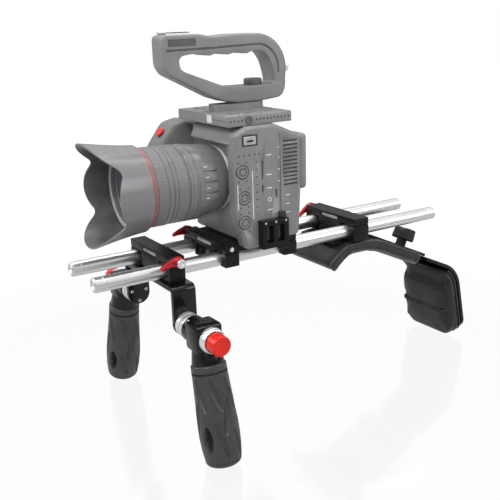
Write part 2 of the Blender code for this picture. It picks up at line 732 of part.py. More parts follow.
def back_path():
    """Return the upper side of the back plate: along the slope, round a bend and down the back."""
    point, normal, down = slope_frame()
    under = FRAME_THICKNESS + GAP
    start = point - normal * under - down * BACK_TONGUE_LENGTH
    bend_start = point - normal * under + down * BACK_BEND_START
    radius = BACK_PLATE_BEND
    centre = bend_start - normal * radius
    turn_end = math.pi / 2 - BACK_TILT - FRAME_SLOPE
    steps = 6
    points = [(start.y, start.z)]
    for step in range(steps + 1):
        angle = turn_end * step / steps
        spot = centre + normal * (radius * math.cos(angle)) + down * (radius * math.sin(angle))
        points.append((spot.y, spot.z))
    fall = Vector((0, math.sin(BACK_TILT), -math.cos(BACK_TILT)))
    last = Vector((0, *points[-1]))
    foot = last + fall * BACK_HEIGHT
    points.append((foot.y, foot.z))
    return points


def build_back_plate(metal):
    """The curved plate that carries the back cushion, slotted for the lock knob."""
    outline = thick_path(back_path(), BACK_PLATE_THICKNESS)
    plate = prism("back_plate", outline, "X", -BACK_PLATE_HALF_WIDTH, BACK_PLATE_HALF_WIDTH, metal)
    radius = KNOB_STEM_RADIUS + KNOB_HOLE_CLEARANCE
    slot = knob_axis_cutter(radius)
    channel = slope_box("channel", (-radius, radius), (-BACK_SLOT_LENGTH, 0.0))
    cheeks = []
    for side in (-1, 1):
        wide = sorted((side * BACK_TONGUE_HALF_WIDTH, side * BACK_PLATE_HALF_WIDTH * 2))
        cheeks.append(slope_box("cheek", wide, (-BACK_TONGUE_LENGTH * 2, BACK_SHOULDER)))
    return cut(plate, slot, channel, *cheeks)


def slope_box(name, across, along, depth=(-0.03, 0.01)):
    """Return a box in the slope's own directions about the knob's point."""
    point, normal, down = slope_frame()
    builder = bmesh.new()
    corners = []
    for x in across:
        for run in along:
            for rise in depth:
                corners.append(builder.verts.new(Vector((x, 0, 0)) + point + down * run + normal * rise))
    bmesh.ops.convex_hull(builder, input=corners)
    return make_object(name, builder)


def build_back_cushion(cloth):
    """The cushion in front of the plate, which starts thin at the bend and follows it down."""
    path = back_path()
    fall = Vector((0, math.sin(BACK_TILT), -math.cos(BACK_TILT))) * BACK_CUSHION_OVERHANG
    path[-1] = (path[-1][0] + fall.y, path[-1][1] + fall.z)
    bend = path[2:]
    near = BACK_PLATE_THICKNESS + GAP
    behind, ahead = [], []
    for index, point in enumerate(bend):
        before = Vector(path[index + 1])
        after = Vector(bend[min(index + 1, len(bend) - 1)])
        along = (after - before).normalized()
        share = min(1.0, index / (len(bend) - 2))
        depth = BACK_CUSHION_LIP + (BACK_CUSHION_DEPTH - BACK_CUSHION_LIP) * share
        behind.append((point[0] + near * along.y, point[1] - near * along.x))
        ahead.append((point[0] + (near + depth) * along.y, point[1] - (near + depth) * along.x))
    outline = behind + ahead[::-1]
    cushion = prism("back_cushion", outline, "X", -BACK_CUSHION_HALF_WIDTH, BACK_CUSHION_HALF_WIDTH, cloth)
    soften(cushion, 0.0035, segments=2, angle=50)
    room = prism("room", thick_path(path, BACK_PLATE_THICKNESS + GAP), "X",
                 -BACK_CUSHION_HALF_WIDTH * 2, BACK_CUSHION_HALF_WIDTH * 2)
    return cut(cushion, room)


def build_pads(metal, lever_paint, steel, plastic, cloth):
    """The pad clamp, its frame, the lock knob and both cushions."""
    build_clamp("pad_clamp", PAD_CLAMP_Y, PAD_CLAMP_LENGTH, metal)
    for side_name, side in (("left", 1), ("right", -1)):
        build_hook("pad_hook_" + side_name, side, PAD_CLAMP_Y, PAD_CLAMP_LENGTH, metal)
    build_lever("pad_lever", -1, PAD_CLAMP_Y, -0.012, lever_paint, steel)
    build_pad_frame(metal)
    build_lock_knob(plastic)
    build_shoulder_pad(cloth)
    build_back_plate(metal)
    build_back_cushion(cloth)


# Camera

def build_camera_body(plastic):
    """The body: a core behind the lens, a flank on the left and a brow over the lens."""
    top = CAMERA_TOP
    core = [
        (CAMERA_FRONT, CAMERA_BASE),
        (CAMERA_REAR - 0.003, CAMERA_BASE),
        (CAMERA_REAR, CAMERA_BASE + 0.045),
        (CAMERA_REAR, top - 0.014),
        (CAMERA_REAR - 0.032, top),
        (CAMERA_FRONT, top),
    ]
    body = prism("camera_body", core, "X", CAMERA_RIGHT, CAMERA_LEFT, plastic)
    soften(body, CAMERA_BEVEL, angle=40)
    flank_low = CAMERA_BASE - FLANK_DROP
    flank_front = CAMERA_FRONT - FLANK_REACH
    flank = [
        (flank_front, CAMERA_BASE + 0.033),
        (CAMERA_FRONT, flank_low),
        (-BRACKET_Y, flank_low),
        (BRACKET_Y, CAMERA_BASE + 0.004),
        (BRACKET_Y, top - 0.003),
        (flank_front + 0.012, top - 0.001),
        (flank_front, top - 0.006),
    ]
    side = prism("flank", flank, "X", CAMERA_LEFT - FLANK_WIDTH, CAMERA_LEFT + 0.0001)
    soften(side, CAMERA_BEVEL, angle=40)
    brow_low = LENS_AXIS_Z + MOUNT_RADIUS + 0.002
    brow = [
        (CAMERA_FRONT - BROW_REACH, brow_low + 0.004),
        (CAMERA_FRONT + 0.010, brow_low),
        (CAMERA_FRONT + 0.010, top - 0.001),
        (CAMERA_FRONT - BROW_REACH + 0.007, top - 0.002),
    ]
    front = prism("brow", brow, "X", CAMERA_RIGHT + BROW_MARGIN, CAMERA_LEFT - FLANK_WIDTH / 2)
    soften(front, CAMERA_BEVEL / 2, angle=40)
    socket = rod_shape("socket", (0, CAMERA_SCREW_Y, CAMERA_BASE - 0.01),
                       (0, CAMERA_SCREW_Y, CAMERA_BASE + CAMERA_SCREW_REACH + GAP),
                       CAMERA_SCREW_RADIUS + GAP, segments=20)
    lens_room = rod_shape("room", lens_point(CAMERA_FRONT - FLANK_REACH * 2), lens_point(CAMERA_FRONT - GAP),
                          RING_RADIUS - LENS_TAPER + GAP * 2, segments=40)
    base_room = block("room", (0, flank_front, flank_low - 0.01),
                      (BASE_HALF_WIDTH + GAP * 2, CAMERA_REAR, CAMERA_BASE - GAP / 2))
    return cut(join(body, side, front), socket, lens_room, base_room)


def build_hand_grip(rubber, red):
    """The hand grip on the right, and the record button on its sloped top."""
    right = CAMERA_RIGHT - GAP
    low = CAMERA_BASE + 0.004
    nose = Vector((0, CAMERA_FRONT - GRIP_REACH, low + 0.084))
    crown = Vector((0, nose.y + 0.019, nose.z + 0.025))
    outline = [
        (CAMERA_FRONT + 0.027, low),
        (CAMERA_FRONT - 0.021, low),
        (nose.y + 0.003, low + 0.030),
        (nose.y, nose.z),
        (crown.y, crown.z),
        (crown.y + 0.016, crown.z + 0.003),
        (CAMERA_FRONT + 0.020, crown.z + 0.001),
        (CAMERA_FRONT + 0.037, low + 0.090),
    ]
    grip = prism("hand_grip", outline, "X", right - HAND_GRIP_WIDTH, right, rubber)
    soften(grip, 0.006, segments=2)
    along = (crown - nose).normalized()
    normal = Vector((0, -along.z, along.y))
    middle = (nose + crown) * 0.5 + along * 0.003 + Vector((right - HAND_GRIP_WIDTH * 0.4, 0, 0))
    base = middle + normal * (GAP + RECORD_TRAVEL)
    profile = [(0, RECORD_RADIUS), (0.0016, RECORD_RADIUS), (0.0024, RECORD_RADIUS * 0.8)]
    set_pivot(turned("record_button", profile, base, normal, red, segments=20), base)


def build_battery(plastic):
    """The battery on the camera's back."""
    front = CAMERA_REAR + GAP
    low = CAMERA_TOP - 0.014 - BATTERY_HEIGHT
    battery = block("battery", (-0.020, front, low),
                    (CAMERA_LEFT - 0.006, front + BATTERY_DEPTH, low + BATTERY_HEIGHT), plastic)
    return soften(battery, 0.003)


def build_top_plate(metal):
    """The slotted plate on the camera's top, with the rail that the handle sits on."""
    front = TOP_PLATE_FRONT
    plate = block("top_plate", (CAMERA_RIGHT, front, TOP_PLATE_LOW),
                  (CAMERA_LEFT - 0.004, front + TOP_PLATE_LENGTH, TOP_PLATE_TOP), metal)
    slots = []
    for x in (-PLATE_SLOT_X, PLATE_SLOT_X):
        for index in range(3):
            start = front + 0.010 + index * PLATE_SLOT_PITCH
            slots.append(block("slot", (x - PLATE_SLOT_WIDTH / 2, start, TOP_PLATE_LOW - 0.01),
                               (x + PLATE_SLOT_WIDTH / 2, start + 0.014, TOP_PLATE_TOP + 0.01)))
    soften(plate, 0.0012, angle=60)
    rail = block("rail", (-RAIL_WIDTH / 2, front + 0.014, TOP_PLATE_TOP - 0.002),
                 (RAIL_WIDTH / 2, front + TOP_PLATE_LENGTH - 0.006, TOP_PLATE_TOP + RAIL_HEIGHT))
    return cut(join(plate, rail), *slots)


# Top handle

def handle_outline():
    """Return the outer side outline of the top handle."""
    front = TOP_HANDLE_FRONT
    foot = HANDLE_FOOT
    outline = [(front, foot + 0.0405), (front + 0.005, foot + 0.032), (front + 0.0545, foot + 0.0065)]
    outline += [(front + 0.070, foot + 0.0015), (front + 0.084, foot), (front + 0.112, foot)]
    outline += [(front + 0.133, foot + 0.002), (front + 0.138, foot + 0.0055), (front + 0.141, foot + 0.0135)]
    outline += arc((front + 0.106, foot + 0.0315), HANDLE_BEND, -14, 84, 8)
    outline += [(front + 0.080, foot + 0.0675), (front + 0.055, foot + 0.0660)]
    outline += [(front + SHOE_LENGTH, foot + SHOE_HEIGHT), (front + 0.003, foot + SHOE_HEIGHT)]
    outline += [(front, foot + 0.0660)]
    return outline


def opening_outline():
    """Return the outline of the finger opening, with three finger swells along its top."""
    front = TOP_HANDLE_FRONT
    foot = HANDLE_FOOT
    roof = foot + 0.0510
    outline = [(front + 0.0185, foot + 0.0355), (front + 0.069, foot + 0.0165)]
    outline += [(front + 0.127, foot + 0.0160)]
    outline += [(front + 0.1275, foot + 0.0225), (front + 0.122, foot + 0.041), (front + 0.113, roof)]
    first = front + 0.103
    steps = 24
    for step in range(steps + 1):
        y = first - 3 * FINGER_PITCH * step / steps
        outline.append((y, roof - cosine_rise(y - first, FINGER_PITCH, FINGER_SWELL)))
    outline += [(front + 0.0205, roof - 0.0015), (front + 0.0165, roof - 0.006)]
    return outline


def build_top_handle(plastic, steel):
    """The top handle, its lock knob inside the opening and the screw on its back."""
    half = TOP_HANDLE_WIDTH / 2
    handle = prism("top_handle", handle_outline(), "X", -half, half, plastic)
    opening = prism("opening", opening_outline(), "X", -half * 2, half * 2)
    cut(soften(handle, 0.0022, angle=50), opening)
    angle = math.radians(2)
    normal = Vector((0, math.cos(angle), math.sin(angle)))
    base = Vector((0, TOP_HANDLE_FRONT + 0.106, HANDLE_FOOT + 0.0315)) + normal * (HANDLE_BEND + GAP)
    profile = [(0, THUMB_RADIUS * 0.5), (0.002, THUMB_RADIUS * 0.5), (0.002, THUMB_RADIUS),
               (0.006, THUMB_RADIUS), (0.007, THUMB_RADIUS * 0.8)]
    set_pivot(turned("handle_rear_screw", profile, base, normal, steel, segments=20), base)
    seat = Vector((0, TOP_HANDLE_FRONT + 0.107, HANDLE_FOOT + 0.0163 + GAP))
    knob = [(0, LOCK_RADIUS), (0.005, LOCK_RADIUS), (0.006, LOCK_RADIUS * 0.9)]
    set_pivot(turned("handle_lock_knob", knob, seat, (0, 0, 1), steel, segments=20), seat)


# Lens

def lens_point(y):
    """Return the point on the lens axis at y."""
    return (0, y, LENS_AXIS_Z)


def build_ring(name, front, rear, radius, material, inner=None):
    """A ring that turns about the lens axis, with bevelled corners."""
    bore = BARREL_RADIUS + RING_SEAT_GAP if inner is None else inner
    length = rear - front
    bevel = 0.0006
    profile = [(0, bore), (0, radius - bevel), (bevel, radius), (length - bevel, radius),
               (length, radius - bevel), (length, bore)]
    ring = turned(name, profile, lens_point(front), (0, 1, 0), material, closed=True, segments=40)
    return set_pivot(ring, lens_point(front))


def build_lens(plastic, rubber, silver, glass):
    """The zoom lens: mount, barrel, three rings, front, glass and petal hood."""
    mount_rear = CAMERA_FRONT - GAP
    mount_front = mount_rear - MOUNT_THICKNESS
    disc = [(0, MOUNT_RADIUS), (MOUNT_THICKNESS, MOUNT_RADIUS)]
    turned("lens_mount", disc, lens_point(mount_front), (0, 1, 0), silver, segments=40)
    barrel_rear = mount_front - GAP
    ring_rear = barrel_rear - LENS_REAR_LENGTH
    ring_front = HOOD_BACK_Y + 0.004
    length = barrel_rear - ring_front + 0.010
    start = ring_front - 0.010
    profile = [
        (0, BARREL_RADIUS),
        (ring_rear - start, BARREL_RADIUS),
        (ring_rear - start, RING_RADIUS - 0.0005),
        (length - 0.012, RING_RADIUS - LENS_TAPER),
        (length, MOUNT_RADIUS),
    ]
    turned("lens_barrel", profile, lens_point(start), (0, 1, 0), plastic, segments=40)
    build_lens_rings(ring_front, ring_rear - GAP, plastic, rubber)
    build_lens_front(start, plastic, silver, glass)


def build_lens_rings(front, rear, plastic, rubber):
    """Three rings side by side on the barrel."""
    space = rear - front
    shares = (
        ("focus_ring", 0.0, 0.40, rubber),
        ("zoom_ring", 0.40, 0.78, rubber),
        ("control_ring", 0.78, 1.0, plastic),
    )
    for name, start, end, material in shares:
        ring_front = front + space * start + (GAP if start > 0 else 0)
        build_ring(name, ring_front, front + space * end, RING_RADIUS + RING_STEP * (1 - start), material)


def build_lens_front(barrel_front, plastic, silver, glass):
    """The front ring around the glass, and the hood on it."""
    ring_rear = HOOD_BACK_Y + 0.004 - GAP
    back = ring_rear
    front = barrel_front - 0.006
    shell = HOOD_BACK_RADIUS - HOOD_THICKNESS - GAP * 2
    profile = [
        (0, GLASS_RADIUS + GLASS_SEAT_GAP),
        (0, shell - 0.001),
        (0.001, shell),
        (back - front, shell),
        (back - front, BARREL_RADIUS + RING_SEAT_GAP),
        (barrel_front - GAP - front, BARREL_RADIUS + RING_SEAT_GAP),
        (barrel_front - GAP - front, GLASS_RADIUS + GLASS_SEAT_GAP),
    ]
    turned("lens_front", profile, lens_point(front), (0, 1, 0), plastic, closed=True, segments=40)
    dome = [(0, GLASS_RADIUS * 0.35), (0.0006, GLASS_RADIUS * 0.7), (0.0016, GLASS_RADIUS * 0.92),
            (0.0026, GLASS_RADIUS), (barrel_front - GAP - front - 0.0005, GLASS_RADIUS)]
    turned("front_glass", dome, lens_point(front + 0.0005), (0, 1, 0), glass, segments=40)
    build_hood(plastic)


def hood_edge(angle):
    """Return how far forward the hood's lip reaches at an angle from the top."""
    folded = math.acos(abs(math.cos(angle)))
    if folded < HOOD_VALLEY_ANGLE:
        share = folded / HOOD_VALLEY_ANGLE
        return HOOD_VALLEY_REACH + (HOOD_LONG_REACH - HOOD_VALLEY_REACH) * (1 - share ** 2.6)
    share = (math.pi / 2 - folded) / (math.pi / 2 - HOOD_VALLEY_ANGLE)
    return HOOD_VALLEY_REACH + (HOOD_SIDE_REACH - HOOD_VALLEY_REACH) * (1 - share ** 2)


def build_hood(plastic):
    """The petal hood: a flaring shell whose lip rises into four lobes."""
    around = 48
    levels = 6
    builder = bmesh.new()
    shells = []
    for inset in (0.0, HOOD_THICKNESS):
        rings = []
        for level in range(levels + 1):
            ring = []
            for step in range(around):
                angle = 2 * math.pi * step / around
                reach = hood_edge(angle) * level / levels
                flare = (HOOD_MOUTH_RADIUS - HOOD_BACK_RADIUS) * (reach / HOOD_LONG_REACH) ** 1.3
                radius = HOOD_BACK_RADIUS + flare - inset
                spot = (radius * math.sin(angle), HOOD_BACK_Y - reach, LENS_AXIS_Z + radius * math.cos(angle))
                ring.append(builder.verts.new(spot))
            rings.append(ring)
        shells.append(rings)
    outer, inner = shells
    loops = outer + inner[::-1]
    for first, second in zip(loops, loops[1:] + loops[:1]):
        for step in range(around):
            after = (step + 1) % around
            builder.faces.new((first[step], first[after], second[after], second[step]))
    hood = make_object("lens_hood", builder, plastic)
    return set_pivot(hood, lens_point(HOOD_BACK_Y))


def main():
    """Build the whole rig."""
    clear_scene()
    black = make_material("black_anodised", (0.012, 0.012, 0.013), 0.38, 0.6)
    steel = make_material("polished_rod", (0.72, 0.72, 0.73), 0.18, 1.0)
    silver = make_material("silver_aluminium", (0.68, 0.68, 0.69), 0.30, 1.0)
    red_lever = make_material("red_anodised", (0.25, 0.010, 0.018), 0.35, 0.5)
    red_button = make_material("red_button", (0.62, 0.030, 0.022), 0.30, 0.3)
    rubber = make_material("handle_rubber", (0.060, 0.060, 0.062), 0.62)
    cloth = make_material("pad_fabric", (0.065, 0.065, 0.067), 0.85)
    knob = make_material("knob_plastic", (0.02, 0.02, 0.02), 0.5)
    grey = make_material("camera_grey", (0.19, 0.19, 0.195), 0.45)
    dark_grey = make_material("camera_grip", (0.15, 0.15, 0.155), 0.6)
    lens_grey = make_material("lens_grey", (0.17, 0.17, 0.175), 0.4)
    glass = make_material("lens_glass", (0.10, 0.10, 0.12), 0.05)
    build_rods(steel)
    build_base(black, red_lever, steel)
    build_side_bracket(black, steel)
    build_handles(black, red_lever, steel, silver, red_button, rubber)
    build_pads(black, red_lever, steel, knob, cloth)
    build_camera_body(grey)
    build_hand_grip(dark_grey, red_button)
    build_battery(dark_grey)
    build_top_plate(grey)
    build_top_handle(grey, silver)
    build_lens(lens_grey, dark_grey, silver, glass)


main()
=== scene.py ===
"""Looks of a cinema camera on a shoulder rig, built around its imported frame.

Metres, +Z up.  The lens looks along -Y and +X is the operator's left.  Each class builds the
visible pieces of one sub-assembly in place, dresses them and lets them ride on their CAD body.
"""
import logging
import math
from dataclasses import dataclass, field
from enum import Enum
from typing import Callable, ClassVar, Optional, Sequence

import bmesh
import bpy
from mathutils import Matrix, Vector


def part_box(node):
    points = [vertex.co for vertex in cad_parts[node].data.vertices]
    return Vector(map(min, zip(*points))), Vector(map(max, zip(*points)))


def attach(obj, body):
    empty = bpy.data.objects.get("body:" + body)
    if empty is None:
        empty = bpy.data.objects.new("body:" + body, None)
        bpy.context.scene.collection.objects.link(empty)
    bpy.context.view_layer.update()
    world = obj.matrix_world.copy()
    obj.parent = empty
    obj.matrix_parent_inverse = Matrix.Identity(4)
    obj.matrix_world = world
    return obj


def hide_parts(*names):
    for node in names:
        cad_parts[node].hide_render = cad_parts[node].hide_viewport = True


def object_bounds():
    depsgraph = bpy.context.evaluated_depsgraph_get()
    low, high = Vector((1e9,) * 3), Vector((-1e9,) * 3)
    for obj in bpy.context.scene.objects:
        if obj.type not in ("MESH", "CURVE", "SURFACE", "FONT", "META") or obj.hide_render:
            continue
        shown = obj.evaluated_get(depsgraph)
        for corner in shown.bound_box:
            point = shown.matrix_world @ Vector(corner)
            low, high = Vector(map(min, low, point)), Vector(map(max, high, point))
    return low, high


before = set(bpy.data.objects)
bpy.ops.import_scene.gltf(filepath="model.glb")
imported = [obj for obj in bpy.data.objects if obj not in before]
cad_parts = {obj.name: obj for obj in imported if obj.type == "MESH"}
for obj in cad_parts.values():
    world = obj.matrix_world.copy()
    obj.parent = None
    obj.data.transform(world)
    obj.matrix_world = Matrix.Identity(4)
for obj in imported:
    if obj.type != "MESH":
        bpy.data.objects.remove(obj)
CAD_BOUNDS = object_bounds()
SHARP_ANGLE = 38.0    # degrees above which an edge stays sharp in the shading
WELD = 0.00001        # metres between points that are one
LOG = logging.getLogger("camera_rig")

Object = bpy.types.Object
Point = tuple[float, float]
Profile = Sequence[Point]
X_AXIS = Vector((1, 0, 0))
Y_AXIS = Vector((0, 1, 0))
Z_AXIS = Vector((0, 0, 1))


class Body(Enum):
    """The CAD bodies that pieces ride on."""

    RIG = "rig"
    BASE_LEVER = "base_lever"
    BRACKET_SCREW = "bracket_thumbscrew"
    HANDLE_FRAME = "handle_frame"
    HANDLE_LEVER = "handle_lever"
    SHOULDER = "shoulder_frame"
    PAD_LEVER = "pad_lever"
    LOCK_KNOB = "lock_knob"
    BACK = "back_pad"
    RECORD = "record_button"
    REAR_SCREW = "handle_rear_screw"
    HANDLE_LOCK = "handle_lock_knob"
    FOCUS = "focus_ring"
    ZOOM = "zoom_ring"
    CONTROL = "control_ring"
    HOOD = "lens_hood"


class Side(Enum):
    """The operator's left or right, with the sign of X on that side."""

    LEFT = 1
    RIGHT = -1

    @property
    def word(self) -> str:
        """Return the side's name as the CAD nodes spell it."""
        return self.name.lower()

    @property
    def direction(self) -> Vector:
        """Return the unit vector out to this side."""
        return X_AXIS * self.value


# Finishes

class Nodes:
    """Short hand over one material's node tree."""

    def __init__(self, name: str) -> None:
        """Make the material and find its shader.

        Args:
            name: The material's name.
        """
        self.material = bpy.data.materials.new(name)
        self.material.use_nodes = True
        self.tree = self.material.node_tree
        self.shader = self.tree.nodes["Principled BSDF"]
        coordinates = self.tree.nodes.new("ShaderNodeTexCoord")
        self.place = coordinates.outputs["Object"]

    def stretched(self, scale: Sequence[float]) -> bpy.types.NodeSocket:
        """Return object coordinates scaled along each axis.

        Args:
            scale: The factor along X, Y and Z.

        Returns:
            The mapped vector socket.
        """
        mapping = self.tree.nodes.new("ShaderNodeMapping")
        mapping.inputs["Scale"].default_value = scale
        self.tree.links.new(self.place, mapping.inputs["Vector"])
        return mapping.outputs["Vector"]

    def noise(self, size: float, detail: float = 3.0,
              stretch: Sequence[float] = (1, 1, 1)) -> bpy.types.NodeSocket:
        """Return a noise whose features are about one size across.

        Args:
            size: The size of a feature in metres.
            detail: The octaves of finer noise.
            stretch: The factor along each axis.

        Returns:
            The factor socket.
        """
        node = self.tree.nodes.new("ShaderNodeTexNoise")
        node.inputs["Scale"].default_value = 1 / size
        node.inputs["Detail"].default_value = detail
        self.tree.links.new(self.stretched(stretch), node.inputs["Vector"])
        return node.outputs["Fac"]

    def cells(self, size: float) -> bpy.types.NodeSocket:
        """Return the distance pattern of small rounded cells of one size."""
        node = self.tree.nodes.new("ShaderNodeTexVoronoi")
        node.inputs["Scale"].default_value = 1 / size
        self.tree.links.new(self.place, node.inputs["Vector"])
        return node.outputs["Distance"]

    def wave(self, pitch: float, direction: str) -> bpy.types.NodeSocket:
        """Return a row of smooth bands.

        Args:
            pitch: The distance between bands in metres.
            direction: X, Y or Z, the way the bands follow each other.

        Returns:
            The factor socket.
        """
        node = self.tree.nodes.new("ShaderNodeTexWave")
        node.bands_direction = direction
        node.inputs["Scale"].default_value = math.pi / (10 * pitch)
        self.tree.links.new(self.place, node.inputs["Vector"])
        return node.outputs["Fac"]

    def math(self, operation: str, first: bpy.types.NodeSocket,
             second: bpy.types.NodeSocket) -> bpy.types.NodeSocket:
        """Combine two factors with one operation of the Math node."""
        node = self.tree.nodes.new("ShaderNodeMath")
        node.operation = operation
        self.tree.links.new(first, node.inputs[0])
        self.tree.links.new(second, node.inputs[1])
        return node.outputs[0]

    def ramp(self, factor: bpy.types.NodeSocket, low: Sequence[float], high: Sequence[float],
             start: float = 0.35, end: float = 0.65) -> bpy.types.NodeSocket:
        """Spread a factor between two colours.

        Args:
            factor: The socket that drives it.
            low: The colour below start.
            high: The colour above end.
            start: The factor where the change starts.
            end: The factor where it ends.

        Returns:
            The colour socket.
        """
        node = self.tree.nodes.new("ShaderNodeValToRGB")
        first, last = node.color_ramp.elements
        first.position, last.position = start, end
        first.color, last.color = (*low, 1.0), (*high, 1.0)
        self.tree.links.new(factor, node.inputs["Fac"])
        return node.outputs["Color"]

    def spread(self, factor: bpy.types.NodeSocket, low: float, high: float) -> bpy.types.NodeSocket:
        """Return a factor spread between two numbers."""
        node = self.tree.nodes.new("ShaderNodeMapRange")
        node.inputs["From Min"].default_value = 0.3
        node.inputs["From Max"].default_value = 0.7
        node.inputs["To Min"].default_value = low
        node.inputs["To Max"].default_value = high
        self.tree.links.new(factor, node.inputs["Value"])
        return node.outputs["Result"]

    def feed(self, name: str, socket: bpy.types.NodeSocket) -> None:
        """Link a socket to one of the shader's inputs."""
        self.tree.links.new(socket, self.shader.inputs[name])

    def raise_surface(self, height: bpy.types.NodeSocket, depth: float) -> None:
        """Bump the surface by a height pattern.

        Args:
            height: The pattern's socket.
            depth: The full height of the pattern in metres.
        """
        node = self.tree.nodes.new("ShaderNodeBump")
        node.inputs["Distance"].default_value = depth
        self.tree.links.new(height, node.inputs["Height"])
        self.tree.links.new(node.outputs["Normal"], self.shader.inputs["Normal"])


class Grain(Enum):
    """The small structure that a finish has."""

    BLASTED = "blasted"
    POLISHED = "polished"
    TURNED = "turned"
    MOULDED = "moulded"
    STIPPLED = "stippled"
    WOVEN = "woven"
    CLEAR = "clear"


def shade(colour: Sequence[float], factor: float) -> tuple[float, ...]:
    """Return a colour made lighter or darker by a factor, held at white."""
    return tuple(min(1.0, channel * factor) for channel in colour)


@dataclass(frozen=True)
class Finish:
    """One surface finish: its colour, gloss and grain.

    Attributes:
        name: The material's name.
        slot: The record's material slot; not used.
        colour: The middle colour, linear.
        roughness: The middle roughness.
        grain: The small structure.
        metallic: 1 for bare metal.
        coat: The weight of a clear coat.
        sheen: The weight of a cloth's sheen.
        contrast: How far the colour varies, as a factor.
        specular: The level of the surface's reflection.
    """

    name: str
    slot: str
    colour: tuple[float, float, float]
    roughness: float
    grain: Grain
    metallic: float = 0.0
    coat: float = 0.0
    sheen: float = 0.0
    contrast: float = 1.25
    specular: float = 0.5

    def material(self) -> bpy.types.Material:
        """Return the node material, made once."""
        made = bpy.data.materials.get(self.name)
        if made is not None:
            return made
        nodes = Nodes(self.name)
        inputs = nodes.shader.inputs
        inputs["Metallic"].default_value = self.metallic
        inputs["Coat Weight"].default_value = self.coat
        inputs["Coat Roughness"].default_value = 0.12
        inputs["Sheen Weight"].default_value = self.sheen
        inputs["Specular IOR Level"].default_value = self.specular
        self.add_grain(nodes)
        return nodes.material

    def add_grain(self, nodes: Nodes) -> None:
        """Add the colour, roughness and bump patterns of this finish's grain.

        Args:
            nodes: The material to add them to.
        """
        patterns: dict[Grain, Callable[[Nodes], tuple]] = {
            Grain.BLASTED: lambda n: (n.noise(0.010), n.noise(0.004), n.noise(0.00035, 2), 0.00001),
            Grain.POLISHED: lambda n: (n.noise(0.0012, 2, (1, 0.03, 1)), n.noise(0.0009, 2, (1, 0.02, 1)),
                                       n.noise(0.0005, 2, (1, 0.02, 1)), 0.000001),
            Grain.TURNED: lambda n: (n.noise(0.0007, 3, (1, 0.05, 0.05)), n.noise(0.0005, 2, (1, 0.05, 0.05)),
                                     n.noise(0.0004, 1, (1, 0.03, 0.03)), 0.000015),
            Grain.MOULDED: lambda n: (n.noise(0.018), n.noise(0.006), n.noise(0.0030, 2), 0.000020),
            Grain.STIPPLED: lambda n: (n.noise(0.014), n.noise(0.005), n.cells(0.0008), 0.00008),
            Grain.WOVEN: lambda n: (n.noise(0.016, 5), n.noise(0.003), self.weave(n), 0.00010),
            Grain.CLEAR: lambda n: (n.noise(0.02), n.noise(0.01), n.noise(0.02, 1), 0.0000005),
        }
        tint, gloss, relief, depth = patterns[self.grain](nodes)
        low, high = shade(self.colour, 1 / self.contrast), shade(self.colour, self.contrast)
        nodes.feed("Base Color", nodes.ramp(tint, low, high))
        rough = nodes.spread(gloss, self.roughness * 0.85, min(1.0, self.roughness * 1.15))
        nodes.feed("Roughness", rough)
        nodes.raise_surface(relief, depth)

    @staticmethod
    def weave(nodes: Nodes) -> bpy.types.NodeSocket:
        """Return the relief of a plain weave in three directions."""
        pitch = 0.0009
        across = nodes.math("MAXIMUM", nodes.wave(pitch, "X"), nodes.wave(pitch, "Y"))
        return nodes.math("MULTIPLY", across, nodes.wave(pitch, "Z"))


BLACK = Finish("satin_black_anodise", "black_anodised", (0.0060, 0.0060, 0.0064), 0.33, Grain.BLASTED,
               specular=0.24)
BLACK_GLOSS = Finish("bright_black_paint", "black_anodised", (0.0035, 0.0035, 0.0038), 0.22, Grain.BLASTED,
                     coat=0.30, specular=0.25)
STEEL = Finish("polished_steel", "polished_rod", (0.82, 0.82, 0.825), 0.34, Grain.POLISHED, 1.0, contrast=1.03)
SILVER = Finish("turned_aluminium", "silver_aluminium", (0.92, 0.92, 0.925), 0.40, Grain.TURNED, 0.85,
                contrast=1.03)
SCREW = Finish("bright_screw", "polished_rod", (0.86, 0.86, 0.865), 0.30, Grain.TURNED, 0.9, contrast=1.04)
RED_LEVER = Finish("dark_red_anodise", "red_anodised", (0.480, 0.010, 0.020), 0.32, Grain.BLASTED, 0.30,
                   coat=0.2)
RED_BUTTON = Finish("bright_red_button", "red_button", (0.80, 0.018, 0.010), 0.34, Grain.TURNED, 0.25,
                    coat=0.15, contrast=1.10)
GRIP_RUBBER = Finish("handle_grip_rubber", "handle_rubber", (0.046, 0.046, 0.048), 0.36, Grain.MOULDED,
                     contrast=1.12)
# Near black for the grip's deepest recesses, the ring under its collar and the welt across the back cushion:
# painted shade in grooves and recesses.
PAINTED_GROOVE_SHADE = Finish("grip_groove", "handle_rubber", (0.008, 0.008, 0.008), 0.7, Grain.MOULDED)
PAD_CLOTH = Finish("pad_cloth", "pad_fabric", (0.017, 0.017, 0.018), 0.38, Grain.WOVEN, coat=0.22, sheen=0.1,
                   specular=0.35)
PAD_SKIN = Finish("pad_skin", "pad_fabric", (0.012, 0.012, 0.013), 0.34, Grain.MOULDED, coat=0.12,
                  specular=0.35)
PAD_LINING = Finish("pad_lining", "pad_fabric", (0.190, 0.188, 0.192), 0.75, Grain.WOVEN, sheen=0.3)
PIPING = Finish("pad_piping", "pad_fabric", (0.050, 0.050, 0.052), 0.38, Grain.WOVEN, coat=0.2)
KNOB = Finish("knob_plastic", "knob_plastic", (0.009, 0.009, 0.010), 0.42, Grain.STIPPLED, specular=0.22)
CAMERA = Finish("camera_shell", "camera_grey", (0.235, 0.230, 0.237), 0.36, Grain.MOULDED, contrast=1.06)
# Dark grey for the lock knob, the top plate's port and the handle's panel sheets; also painted shade on the
# floors of the side's slits, holes and pad wells, on the dots round the pads and in the handle's grooves.
CAMERA_DARK_AND_SHADE = Finish("camera_recess", "camera_grey", (0.100, 0.098, 0.102), 0.5, Grain.MOULDED)
